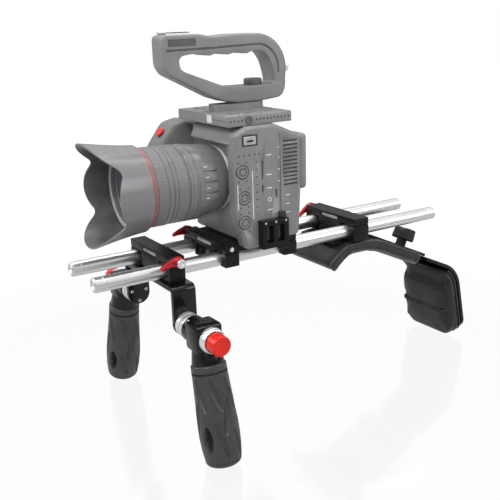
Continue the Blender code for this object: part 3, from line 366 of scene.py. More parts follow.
# Pale grey for the side's lines and dashes and the lens switch marks; also the painted highlight dashes on the
# top plate.
CAMERA_MARK_AND_HIGHLIGHT = Finish("camera_marks", "camera_grey", (0.78, 0.78, 0.79), 0.4, Grain.MOULDED, contrast=1.05)
CAMERA_RUBBER = Finish("camera_rubber", "camera_grip", (0.165, 0.165, 0.170), 0.62, Grain.STIPPLED,
                       contrast=1.06)
LENS = Finish("lens_shell", "lens_grey", (0.205, 0.200, 0.207), 0.25, Grain.MOULDED, contrast=1.05)
LENS_RUBBER = Finish("lens_ring_rubber", "lens_rubber", (0.190, 0.186, 0.192), 0.40, Grain.MOULDED,
                     contrast=1.05)
# Darker grey for the hood's inner wall: painted shade inside the hood.
LENS_INNER_SHADE = Finish("lens_inner_painted_shade", "lens_grey", (0.105, 0.102, 0.107), 0.34, Grain.MOULDED)
LENS_RED = Finish("lens_red_line", "red_button", (0.66, 0.075, 0.085), 0.30, Grain.MOULDED, contrast=1.05)
BRIGHT_EDGE = Finish("bright_mount", "silver_aluminium", (0.90, 0.90, 0.91), 0.45, Grain.TURNED, 0.3,
                     contrast=1.03)
LABEL = Finish("blank_label", "camera_grey", (0.42, 0.40, 0.40), 0.45, Grain.MOULDED)
GLASS = Finish("coated_glass", "lens_glass", (0.070, 0.068, 0.085), 0.04, Grain.CLEAR, coat=1.0)


# Mesh work

def wire(tree: bpy.types.NodeTree, *pairs: tuple[bpy.types.NodeSocket, bpy.types.NodeSocket]) -> None:
    """Link each pair of an output and an input in a node tree."""
    for source, target in pairs:
        tree.links.new(source, target)


def add_object(name: str, data: bpy.types.ID) -> Object:
    """Put a new object into the scene.

    Args:
        name: The object's name.
        data: Its mesh, light or camera.

    Returns:
        The object.
    """
    item = bpy.data.objects.new(name, data)
    bpy.context.scene.collection.objects.link(item)
    return item


def shade_edges(mesh: bpy.types.Mesh, sharp: float = SHARP_ANGLE) -> None:
    """Shade a mesh smooth, but for the edges sharper than an angle in degrees."""
    mesh.shade_smooth()
    mesh.set_sharp_from_angle(angle=math.radians(sharp))


class Bench:
    """Mesh operations that every sub-assembly shares."""

    @staticmethod
    def make(name: str, builder: bmesh.types.BMesh, sharp: float = SHARP_ANGLE) -> Object:
        """Turn a bmesh into a linked object with outward faces and smooth shading.

        Args:
            name: The object's name.
            builder: The bmesh, which is freed.
            sharp: The angle in degrees above which an edge stays sharp.

        Returns:
            The new object.
        """
        bmesh.ops.recalc_face_normals(builder, faces=builder.faces)
        mesh = bpy.data.meshes.new(name)
        builder.to_mesh(mesh)
        builder.free()
        shade_edges(mesh, sharp)
        return add_object(name, mesh)

    @classmethod
    def loft(cls, name: str, rings: Sequence[Sequence[Vector]], sharp: float = SHARP_ANGLE,
             closed: bool = False) -> Object:
        """Join closed rings of points one after another.

        Args:
            name: The object's name.
            rings: The rings, each with the same number of points.
            sharp: The angle in degrees above which an edge stays sharp.
            closed: True if the last ring joins the first; both ends are capped otherwise.

        Returns:
            The lofted solid.
        """
        builder = bmesh.new()
        loops = [[builder.verts.new(point) for point in ring] for ring in rings]
        if closed:
            loops.append(loops[0])
        else:
            builder.faces.new(loops[0])
            builder.faces.new(loops[-1])
        for first, second in zip(loops, loops[1:]):
            for step, corner in enumerate(first):
                after = (step + 1) % len(first)
                builder.faces.new((corner, first[after], second[after], second[step]))
        return cls.make(name, builder, sharp)

    @classmethod
    def prism(cls, name: str, outline: Profile, axis: str, low: float, high: float) -> Object:
        """Extrude a closed outline along an axis.

        Args:
            name: The object's name.
            outline: The outline's points in the plane across the axis, in the order X, Y, Z.
            axis: X, Y or Z.
            low: Where the extrusion starts.
            high: Where it ends.

        Returns:
            The solid.
        """
        place = "XYZ".index(axis)
        return cls.loft(name, [[Vector((*point[:place], along, *point[place:])) for point in outline]
                               for along in (low, high)])

    @classmethod
    def box(cls, name: str, low: Sequence[float], high: Sequence[float]) -> Object:
        """Return a box between two corners, for cutting or for rounding."""
        corners = [(low[0], low[1]), (high[0], low[1]), (high[0], high[1]), (low[0], high[1])]
        return cls.prism(name, corners, "Z", low[2], high[2])

    @classmethod
    def lathe(cls, name: str, profile: Profile, origin: Vector, direction: Vector,
              sides: int = 96, closed: bool = False,
              radius_at: Optional[Callable[[float, float, float], float]] = None) -> Object:
        """Turn a profile about an axis.

        Args:
            name: The object's name.
            profile: Points (distance along the axis, radius).
            origin: Where the axis starts.
            direction: The axis.
            sides: The steps around.
            closed: True if the profile's last point joins the first, as for a ring.
            radius_at: Changes a radius, from (angle, distance, radius).

        Returns:
            The turned solid.
        """
        turn = Vector(direction).to_track_quat("Z", "Y").to_matrix().to_4x4()
        seat = Matrix.Translation(Vector(origin)) @ turn
        angles = [2 * math.pi * step / sides for step in range(sides)]
        rings = []
        for distance, radius in profile:
            ring = []
            for angle in angles:
                reach = radius if radius_at is None else radius_at(angle, distance, radius)
                ring.append(seat @ Vector((reach * math.cos(angle), reach * math.sin(angle), distance)))
            rings.append(ring)
        return cls.loft(name, rings, closed=closed)

    @classmethod
    def tube(cls, name: str, points: Sequence[Vector], radius: float, closed: bool = False,
             sides: int = 10) -> Object:
        """Sweep a round section along points.

        Args:
            name: The object's name.
            points: The centreline.
            radius: The section's radius.
            closed: True if the line ends where it starts.
            sides: The steps around the section.

        Returns:
            The tube.
        """
        count = len(points)
        turns = [2 * math.pi * step / sides for step in range(sides)]
        rings = []
        normal = None
        for index, point in enumerate(points):
            before = points[index - 1] if index or closed else point
            after = points[(index + 1) % count] if index < count - 1 or closed else point
            tangent = (after - before).normalized()
            if normal is None:
                normal = tangent.orthogonal().normalized()
            normal = (normal - tangent * normal.dot(tangent)).normalized()
            side = tangent.cross(normal)
            rings.append([point + normal * radius * math.cos(turn) + side * radius * math.sin(turn)
                          for turn in turns])
        return cls.loft(name, rings, closed=closed)

    @staticmethod
    def apply(item: Object) -> Object:
        """Bake the modifiers of an object into its mesh."""
        bpy.context.view_layer.update()
        evaluated = item.evaluated_get(bpy.context.evaluated_depsgraph_get())
        mesh = bpy.data.meshes.new_from_object(evaluated)
        item.modifiers.clear()
        item.data = mesh
        return item

    @classmethod
    def round_edges(cls, item: Object, width: float, steps: int = 3, angle: float = 30.0) -> Object:
        """Round the edges sharper than an angle.

        Args:
            item: The object.
            width: The width of the rounding in metres.
            steps: The facets across the rounding.
            angle: The angle in degrees.

        Returns:
            The same object.
        """
        bevel = item.modifiers.new("round", "BEVEL")
        bevel.width = width
        bevel.segments = steps
        bevel.limit_method = "ANGLE"
        bevel.angle_limit = math.radians(angle)
        bevel.use_clamp_overlap = True
        cls.apply(item)
        shade_edges(item.data)
        return item

    @classmethod
    def join(cls, name: str, items: Sequence[Object]) -> Object:
        """Put the meshes of several objects into one object, as separate shells.

        Args:
            name: The name of the result.
            items: The objects, which are removed.

        Returns:
            The joined object.
        """
        builder = bmesh.new()
        for item in items:
            item.data.transform(item.matrix_world)
            builder.from_mesh(item.data)
            bpy.data.objects.remove(item)
        return cls.make(name, builder)

    @classmethod
    def boolean(cls, target: Object, tools: Sequence[Object], operation: str) -> Object:
        """Apply one exact boolean of every tool to the target, and drop the tools.

        Args:
            target: The object that stays.
            tools: The objects to combine with it.
            operation: DIFFERENCE, UNION or INTERSECT.

        Returns:
            The target.
        """
        for tool in tools:
            step = target.modifiers.new("step", "BOOLEAN")
            step.operation = operation
            step.solver = "EXACT"
            step.object = tool
        cls.apply(target)
        for tool in tools:
            bpy.data.objects.remove(tool)
        shade_edges(target.data)
        return target

    @classmethod
    def cut(cls, target: Object, *tools: Object) -> Object:
        """Cut tools that don't touch each other out of the target, in one step."""
        return cls.boolean(target, [cls.join("tools", list(tools))], "DIFFERENCE")

    @classmethod
    def fuse(cls, target: Object, *tools: Object) -> Object:
        """Fuse every tool to the target."""
        return cls.boolean(target, list(tools), "UNION")

    @classmethod
    def refined(cls, node: str, name: str, width: float, steps: int = 3) -> Object:
        """Return a copy of a CAD node with its flat faces whole and its edges rounded.

        Args:
            node: The CAD node.
            name: The copy's name.
            width: The width of the rounding in metres.
            steps: The facets across the rounding.

        Returns:
            The copy, which replaces the node.
        """
        builder = bmesh.new()
        builder.from_mesh(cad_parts[node].data)
        bmesh.ops.remove_doubles(builder, verts=builder.verts, dist=WELD)
        bmesh.ops.dissolve_limit(builder, angle_limit=math.radians(1.0), verts=builder.verts,
                                 edges=builder.edges)
        item = cls.round_edges(cls.make(name, builder), width, steps, 32.0)
        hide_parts(node)
        return item


def dress(item: Object, finish: Finish, body: str) -> Object:
    """Give a piece its finish, let it ride on its body and report it.

    Args:
        item: The piece, in place.
        finish: Its finish.
        body: The CAD body's name.

    Returns:
        The same piece.
    """
    item.data.materials.clear()
    item.data.materials.append(finish.material())
    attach(item, body)
    LOG.info("%s rides on %s in %s", item.name, body, finish.name)
    return item


def keep_node(node: str, finish: Finish) -> None:
    """Show a CAD node as it is, in a finish.

    Args:
        node: The CAD node.
        finish: Its finish.
    """
    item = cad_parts[node]
    item.data.materials.clear()
    item.data.materials.append(finish.material())
    shade_edges(item.data)
    LOG.info("%s is kept in %s", node, finish.name)


def refine(node: str, suffix: str, width: float, steps: int, finish: Finish, body: str) -> None:
    """Replace a CAD node by a copy with rounded edges, and dress it.

    Args:
        node: The CAD node.
        suffix: What the copy's name adds to the node's.
        width: The width of the rounding in metres.
        steps: The facets across the rounding.
        finish: Its finish.
        body: The CAD body's name.
    """
    dress(Bench.refined(node, f"{node}_{suffix}", width, steps), finish, body)


def middle(node: str) -> Vector:
    """Return the middle of a CAD node's box."""
    low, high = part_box(node)
    return (low + high) / 2


def turned_size(node: str, axis: str) -> tuple[float, float]:
    """Return the radius and the length of a CAD node turned about an axis.

    Args:
        node: The CAD node.
        axis: x or y, the axis that it is turned about.

    Returns:
        The radius and the length.
    """
    low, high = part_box(node)
    return (high.z - low.z) / 2, getattr(high, axis) - getattr(low, axis)


def ordered(side: "Side", first: float, second: float) -> list[float]:
    """Return the X of two distances to one side of the middle, the lower first."""
    return sorted((side.value * first, side.value * second))


def arc(centre: Point, radius: float, start: float, end: float, steps: int) -> list[Point]:
    """Return the points of an arc.

    Args:
        centre: The arc's centre.
        radius: Its radius.
        start: The first angle in degrees.
        end: The last angle in degrees.
        steps: The number of steps.

    Returns:
        The points, both ends included.
    """
    points = []
    for step in range(steps + 1):
        angle = math.radians(start + (end - start) * step / steps)
        points.append((centre[0] + radius * math.cos(angle), centre[1] + radius * math.sin(angle)))
    return points


def mirrored(points: Sequence[Point]) -> list[Point]:
    """Return points on the left of the middle, followed by their mirror images backwards."""
    return list(points) + [(-first, second) for first, second in reversed(points)]


def smooth(share: float) -> float:
    """Ease a share between 0 and 1."""
    held = min(1.0, max(0.0, share))
    return held * held * (3 - 2 * held)


@dataclass
class ScrewHead:
    """A small socket-head screw.

    Attributes:
        radius: The head's radius.
        height: How far it stands out.
        socket: The hexagon's radius.
    """

    radius: float = 0.0018
    height: float = 0.0009
    socket: float = 0.0009

    def build(self, name: str, seat: Vector, out: Vector) -> Object:
        """Make the head at a seat.

        Args:
            name: The piece's name.
            seat: The middle of the head's underside.
            out: The direction that the head faces.

        Returns:
            The head.
        """
        rim = self.height * 0.35
        profile = [(-self.height, self.radius), (self.height - rim, self.radius),
                   (self.height, self.radius - rim), (self.height, self.socket), (0.0, self.socket * 0.9)]
        return Bench.lathe(name, profile, seat, out, sides=24)


# The scene around the object

@dataclass
class Studio:
    """The camera, the pale floor and the soft lights.

    Attributes:
        eye: The camera's place.
        azimuth: The way it looks, in degrees from +Y towards -X.
        elevation: How far it looks down, in degrees.
        roll: Its roll in degrees.
        lens: Its focal length in millimetres.
    """

    eye: tuple[float, float, float] = (0.6778, -0.4107, 0.2443)
    azimuth: float = 57.97
    elevation: float = 16.98
    roll: float = -1.81
    lens: float = 54.86

    def build(self) -> None:
        """Make everything that isn't part of the object."""
        self.build_camera()
        self.build_world()
        self.build_floor()
        self.build_lights()
        view = bpy.context.scene.view_settings
        view.view_transform = "Standard"
        view.look = "None"

    def axes(self) -> tuple[Vector, Vector, Vector]:
        """Return the camera's right, up and back directions, without its roll."""
        turn, tilt = math.radians(self.azimuth), math.radians(self.elevation)
        back = Vector((math.sin(turn) * math.cos(tilt), -math.cos(turn) * math.cos(tilt), math.sin(tilt)))
        right = Vector((math.cos(turn), math.sin(turn), 0))
        return right, right.cross(-back), back

    def build_camera(self) -> None:
        """Make the camera and set it as the scene's own."""
        data = bpy.data.cameras.new("view")
        data.lens = self.lens
        data.sensor_width = 36.0
        data.clip_start = 0.01
        item = add_object("view", data)
        right, up, back = self.axes()
        cosine, sine = math.cos(math.radians(self.roll)), math.sin(math.radians(self.roll))
        columns = (cosine * right + sine * up, cosine * up - sine * right, back, Vector(self.eye))
        rows = [[column[row] for column in columns] for row in range(3)]
        item.matrix_world = Matrix(rows + [[0, 0, 0, 1]])
        bpy.context.scene.camera = item

    @staticmethod
    def build_world() -> None:
        """Make a white backdrop whose reflected light is darker at the horizon."""
        world = bpy.data.worlds.new("studio")
        world.use_nodes = True
        bpy.context.scene.world = world
        tree = world.node_tree
        backdrop = tree.nodes["Background"]
        backdrop.inputs["Color"].default_value = (1, 1, 1, 1)
        soft = tree.nodes.new("ShaderNodeBackground")
        place = tree.nodes.new("ShaderNodeTexCoord")
        split = tree.nodes.new("ShaderNodeSeparateXYZ")
        ramp = tree.nodes.new("ShaderNodeValToRGB")
        stretch = tree.nodes.new("ShaderNodeMapRange")
        stretch.inputs["From Min"].default_value = -1.0
        wire(tree, (place.outputs["Generated"], split.inputs["Vector"]),
             (split.outputs["Z"], stretch.inputs["Value"]), (stretch.outputs["Result"], ramp.inputs["Fac"]))
        levels = ((0.0, 0.60), (0.40, 0.55), (0.475, 0.16), (0.53, 0.10), (0.62, 0.45), (1.0, 1.0))
        elements = ramp.color_ramp.elements
        while len(elements) < len(levels):
            elements.new(0.5)
        for element, (position, level) in zip(elements, levels):
            element.position = position
            element.color = (level, level, level, 1)
        rays = tree.nodes.new("ShaderNodeLightPath")
        mix = tree.nodes.new("ShaderNodeMixShader")
        wire(tree, (ramp.outputs["Color"], soft.inputs["Color"]),
             (rays.outputs["Is Camera Ray"], mix.inputs["Fac"]), (soft.outputs["Background"], mix.inputs[1]),
             (backdrop.outputs["Background"], mix.inputs[2]),
             (mix.outputs["Shader"], tree.nodes["World Output"].inputs["Surface"]))

    @staticmethod
    def build_floor() -> None:
        """Make a pale floor with a faint reflection under the object's lowest point."""
        reach, level = 4.0, CAD_BOUNDS[0][2] - 0.0006
        builder = bmesh.new()
        corners = ((-reach, -reach), (reach, -reach), (reach, reach), (-reach, reach))
        builder.faces.new([builder.verts.new((x, y, level)) for x, y in corners])
        floor = Bench.make("floor", builder)
        material = bpy.data.materials.new("pale_floor")
        material.use_nodes = True
        tree = material.node_tree
        tree.nodes.clear()
        kinds = ("Emission", "Emission", "BsdfGlossy", "LightPath", "MixShader", "MixShader",
                 "OutputMaterial", "TexCoord", "TexGradient", "MapRange")
        glow, plain, gloss, rays, both, sheen, output, place, ball, fade = (
            tree.nodes.new("ShaderNode" + kind) for kind in kinds)
        glow.inputs["Strength"].default_value = 1.07
        plain.inputs["Strength"].default_value = 0.62
        gloss.inputs["Roughness"].default_value = 0.13
        ball.gradient_type = "SPHERICAL"
        fade.inputs["From Max"].default_value = 0.6
        fade.inputs["To Max"].default_value = 0.15
        wire(tree, (place.outputs["Object"], ball.inputs["Vector"]), (ball.outputs["Fac"], fade.inputs["Value"]),
             (fade.outputs["Result"], sheen.inputs["Fac"]), (glow.outputs["Emission"], sheen.inputs[1]),
             (gloss.outputs["BSDF"], sheen.inputs[2]), (rays.outputs["Is Camera Ray"], both.inputs["Fac"]),
             (plain.outputs["Emission"], both.inputs[1]), (sheen.outputs["Shader"], both.inputs[2]),
             (both.outputs["Shader"], output.inputs["Surface"]))
        floor.data.materials.append(material)

    @staticmethod
    def build_lights() -> None:
        """Hang four soft area lights around the object."""
        aim = Vector((0, 0.03, 0.03))
        lights = (("key", (1.0, -1.1, 1.3), 0.9, 16.0), ("top", (-0.2, 0.3, 1.6), 1.2, 14.0),
                  ("fill", (1.2, 1.2, 0.7), 0.8, 7.0), ("front", (-0.9, -1.2, 0.8), 0.7, 7.0))
        for name, place, size, power in lights:
            data = bpy.data.lights.new(name, "AREA")
            data.size = size
            data.energy = power
            item = add_object(name, data)
            item.location = place
            item.rotation_euler = (aim - Vector(place)).to_track_quat("-Z", "Y").to_euler()


# Rods, clamps and levers

@dataclass
class Rods:
    """The two polished rods, each with a screwed end piece.

    Attributes:
        chamfer: The width of the chamfer at an end.
        seam: How far from an end the end piece's seam lies.
        seam_depth: The depth of the seam.
        bore: The radius of the threaded bore in an end.
    """

    chamfer: float = 0.0013
    seam: float = 0.0095
    seam_depth: float = 0.00025
    bore: float = 0.0044

    def build(self) -> None:
        """Make both rods."""
        for side in Side:
            node = "rod_" + side.word
            low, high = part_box(node)
            rod = Bench.lathe(node + "_polished", self.profile(high.y - low.y, (high.z - low.z) / 2),
                              Vector(((low.x + high.x) / 2, low.y, (low.z + high.z) / 2)), Y_AXIS, sides=96)
            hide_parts(node)
            dress(rod, STEEL, Body.RIG.value)

    def profile(self, length: float, radius: float) -> list[Point]:
        """Return the turned outline of a rod.

        Args:
            length: The rod's length.
            radius: The rod's radius.

        Returns:
            The profile from the front end to the rear end.
        """
        lip = 0.0005
        half = [(0.0025, self.bore * 0.92), (lip, self.bore), (0.0, self.bore + lip),
                (0.0, radius - self.chamfer), (self.chamfer, radius), (self.seam, radius),
                (self.seam + self.seam_depth, radius - self.seam_depth),
                (self.seam + 2 * self.seam_depth, radius)]
        return half + [(length - along, reach) for along, reach in reversed(half)]


@dataclass
class Clamp:
    """One rod clamp: its bar, its hooks and the details on its faces.

    Attributes:
        node: The CAD node of the bar.
        hooks: The stem of its hooks' node names.
        body: The CAD body that it rides on.
        crown: The rounding of the bar's edges.
        jaw_round: The rounding of the hooks' edges.
        pocket_depth: The depth of the pocket in the front face.
        core_pocket: True if the core under the bar has a pocket too.
    """

    node: str
    hooks: str
    body: Body
    crown: float = 0.0016
    jaw_round: float = 0.0007
    pocket_depth: float = 0.0007
    core_pocket: bool = False

    def build(self) -> None:
        """Make the bar, a blank plate in its pocket and the rounded hooks."""
        low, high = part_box(self.node)
        bar = Bench.refined(self.node, self.node + "_bar", self.crown)
        bar_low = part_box(self.hooks + "_left")[1].z
        mid_z = (bar_low + high.z) / 2
        pocket = self.stadium("pocket", (-0.016, 0.016), (mid_z - 0.0026, mid_z + 0.0026),
                              (low.y - 0.002, low.y + self.pocket_depth))
        cutters = [pocket]
        if self.core_pocket:
            cutters.append(Bench.box("hollow", (-0.017, low.y - 0.002, low.z + 0.0022),
                                     (0.017, low.y + 0.006, bar_low - 0.0012)))
        Bench.cut(bar, *cutters)
        dress(bar, BLACK, self.body.value)
        deep = (low.y + self.pocket_depth * 0.35, low.y + self.pocket_depth + 0.0004)
        plate = self.stadium(self.node + "_blank_plate", (-0.0145, 0.0145),
                             (mid_z - 0.0016, mid_z + 0.0016), deep)
        dress(plate, LABEL, self.body.value)
        for side in Side:
            refine(f"{self.hooks}_{side.word}", "jaw", self.jaw_round, 3, BLACK, self.body.value)

    def close_end(self, side: Side, height: float, finish: Finish) -> None:
        """Close the bolt's bore at one end of the bar with a slotted screw head.

        Args:
            side: The end's side.
            height: The bore's height.
            finish: The head's finish.
        """
        low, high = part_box(self.node)
        outer = high.x if side is Side.LEFT else low.x
        seat = Vector((outer, (low.y + high.y) / 2, height))
        profile = [(-0.0012, 0.0024), (0.0001, 0.0024), (0.0004, 0.0020)]
        head = Bench.lathe(f"{self.node}_end_screw_{side.word}", profile, seat, side.direction, 32)
        reach, half_long, half_wide = 0.001, 0.0030, 0.00035
        near, far = sorted((outer, outer + side.value * reach))
        Bench.cut(head, Bench.box("slot", (near - 0.0004, seat.y - half_long, height - half_wide),
                                  (far, seat.y + half_long, height + half_wide)))
        dress(head, finish, self.body.value)

    @staticmethod
    def stadium(name: str, across: Point, up: Point, deep: Point) -> Object:
        """Return a block with rounded ends that faces -Y.

        Args:
            name: The object's name.
            across: Its ends along X.
            up: Its lower and upper side.
            deep: Its front and back.

        Returns:
            The block.
        """
        radius = (up[1] - up[0]) / 2
        level = (up[0] + up[1]) / 2
        outline = arc((across[1] - radius, level), radius, -90, 90, 8)
        outline += arc((across[0] + radius, level), radius, 90, 270, 8)
        return Bench.prism(name, outline, "Y", *deep)


@dataclass
class Lever:
    """A curved clamp lever with its bolt.

    Attributes:
        node: The CAD node of the lever.
        body: The body that turns.
        bolt_body: The body that holds the bolt.
        side: The side that it is on.
        hub: The hub's radius.
        sway: How far the tail bows sideways out.
    """

    node: str
    body: Body
    bolt_body: Body
    side: Side
    hub: float = 0.0055
    sway: float = 0.0016

    def build(self) -> None:
        """Make the lever's hub and tail as one piece, and its bolt."""
        low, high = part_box(self.node)
        bolt_low, bolt_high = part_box(self.node + "_bolt")
        bolt = middle(self.node + "_bolt")
        centre = Vector((middle(self.node).x, bolt.y, bolt.z))
        width = high.x - low.x
        start = centre - self.side.direction * width / 2
        hub_profile = [(0, self.hub - 0.0006), (0.0006, self.hub), (width - 0.0012, self.hub),
                       (width - 0.0004, self.hub - 0.0005), (width, self.hub - 0.0014)]
        hub = Bench.lathe(self.node + "_curved", hub_profile, start, self.side.direction, sides=48)
        lever = Bench.fuse(hub, self.tail(centre, low, width))
        bore = Bench.lathe("bore", [(-0.01, 0.00255), (width + 0.01, 0.00255)], start,
                           self.side.direction, sides=32)
        Bench.cut(lever, bore)
        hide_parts(self.node)
        dress(lever, RED_LEVER, self.body.value)
        refine(self.node + "_bolt", "turned", 0.0004, 2, SCREW, self.bolt_body.value)
        outer = bolt_high.x if self.side is Side.LEFT else bolt_low.x
        washer = [(-0.0002, 0.0046), (0.0008, 0.0046), (0.0013, 0.0040), (0.0013, 0.0020), (0.0002, 0.0018)]
        head = Bench.lathe(self.node + "_bolt_head", washer, Vector((outer, centre.y, centre.z)),
                           self.side.direction, sides=40)
        dress(head, SCREW, self.bolt_body.value)

    def tail(self, centre: Vector, low: Vector, width: float) -> Object:
        """Loft the S-curved tail towards -Y.

        Args:
            centre: The hub's middle.
            low: The lowest corner of the CAD lever.
            width: The lever's width along X.

        Returns:
            The tail.
        """
        length = centre.y - low.y - 0.0012
        drop = centre.z - low.z - 0.0030
        rings = []
        steps = 16
        for step in range(steps + 1):
            share = step / steps
            swell = 1.0 - 0.62 * smooth(share) + 0.10 * math.sin(math.pi * share)
            tall = self.hub * 0.86 * swell
            wide = width * 0.5 * (1 - 0.28 * share)
            if step == steps:
                tall, wide = tall * 0.55, wide * 0.6
            fall = drop * (share ** 1.7) - 0.0012 * math.sin(math.pi * share)
            spot = centre + Vector((self.side.value * self.sway * 0.2 * share, -length * share, -fall))
            ring = []
            for turn in range(20):
                angle = 2 * math.pi * turn / 20
                cosine, sine = math.cos(angle), math.sin(angle)
                across = wide * math.copysign(abs(cosine) ** 0.7, cosine)
                high = tall * math.copysign(abs(sine) ** 0.8, sine)
                ring.append(spot + Vector((across * 0.98, 0, high)))
            rings.append(ring)
        return Bench.loft("tail", rings, 60)


@dataclass
class Support:
    """Everything fixed to the rods under the camera.

    Attributes:
        bracket_round: The rounding of the cable bracket's edges.
    """

    bracket_round: float = 0.0007

    def build(self) -> None:
        """Make the rods, the clamps with their levers, the base plate and the bracket."""
        Rods().build()
        height = (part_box("base_lever_bolt")[0].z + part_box("base_lever_bolt")[1].z) / 2
        front = Clamp("base_front_clamp", "base_front_hook", Body.RIG, core_pocket=True)
        front.build()
        front.close_end(Side.LEFT, height, SCREW)
        Clamp("base_rear_clamp", "base_rear_hook", Body.RIG).build()
        Clamp("handle_clamp", "handle_hook", Body.HANDLE_FRAME, crown=0.0022).build()
        rear = Clamp("pad_clamp", "pad_hook", Body.SHOULDER, crown=0.0024)
        rear.build()
        rear.close_end(Side.LEFT, height, BLACK)
        Lever("base_lever", Body.BASE_LEVER, Body.RIG, Side.RIGHT).build()
        Lever("handle_lever", Body.HANDLE_LEVER, Body.HANDLE_FRAME, Side.LEFT).build()
        Lever("pad_lever", Body.PAD_LEVER, Body.SHOULDER, Side.RIGHT).build()
        refine("base_plate", "rounded", 0.0006, 2, BLACK, Body.RIG.value)
        keep_node("camera_screw", SCREW)
        self.build_bracket()

    def build_bracket(self) -> None:
        """Make the slotted cable bracket, its small screws and its thumbscrew."""
        refine("side_bracket", "rounded", self.bracket_round, 3, BLACK, Body.RIG.value)
        low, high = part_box("side_bracket")
        heads = []
        for along in (0.12, 0.5, 0.88):
            seat = Vector((high.x, low.y + (high.y - low.y) * along, high.z - 0.0022))
            heads.append(ScrewHead(0.0011, 0.0004, 0.0005).build("head", seat, X_AXIS))
        dress(Bench.join("bracket_screws", heads), SCREW, Body.RIG.value)
        base_low, base_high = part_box("bracket_thumbscrew")
        height, wide = base_high.z - base_low.z, (base_high.x - base_low.x) / 2
        centre = Vector(((base_low.x + base_high.x) / 2, (base_low.y + base_high.y) / 2, base_low.z))
        profile = [(0, wide * 0.7), (0.0006, wide * 0.95), (height * 0.8, wide), (height, wide * 0.8)]

        def knurl(angle: float, distance: float, radius: float) -> float:
            """Return a radius with a fine knurl."""
            return radius * (0.97 + 0.03 * math.cos(24 * angle))

        screw = Bench.lathe("bracket_thumbscrew_knurled", profile, centre, Z_AXIS, 144, radius_at=knurl)
        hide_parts("bracket_thumbscrew")
        dress(screw, KNOB, Body.BRACKET_SCREW.value)


# The two hand grips

@dataclass(frozen=True)
class Leaf:
    """One leaf-shaped recess in a grip.

    Attributes:
        angle: Where its middle is around the grip, in degrees from +X towards +Y.
        height: Where its middle is, as a share of the grip's length from the top.
        half_length: Half its length as a share of the grip's length.
        half_width: Half its width in degrees.
        depth: Its depth in metres.
        slant: How far its foot turns round from its head, in degrees.
    """

    angle: float
    height: float
    half_length: float
    half_width: float
    depth: float
    slant: float = 0.0

    def sink(self, angle: float, share: float) -> float:
        """Return how deep the recess is at an angle and a share of the length."""
        along = (share - self.height) / self.half_length
        if abs(along) >= 1:
            return 0.0
        centre = self.angle + self.slant * along / 2
        apart = (angle - centre + 180) % 360 - 180
        room = self.half_width * (1 - along * along) ** 0.8
        if abs(apart) >= room:
            return 0.0
        edge = 1 - (apart / room) ** 2
        return self.depth * edge ** 0.75 * (1 - along * along) ** 0.35


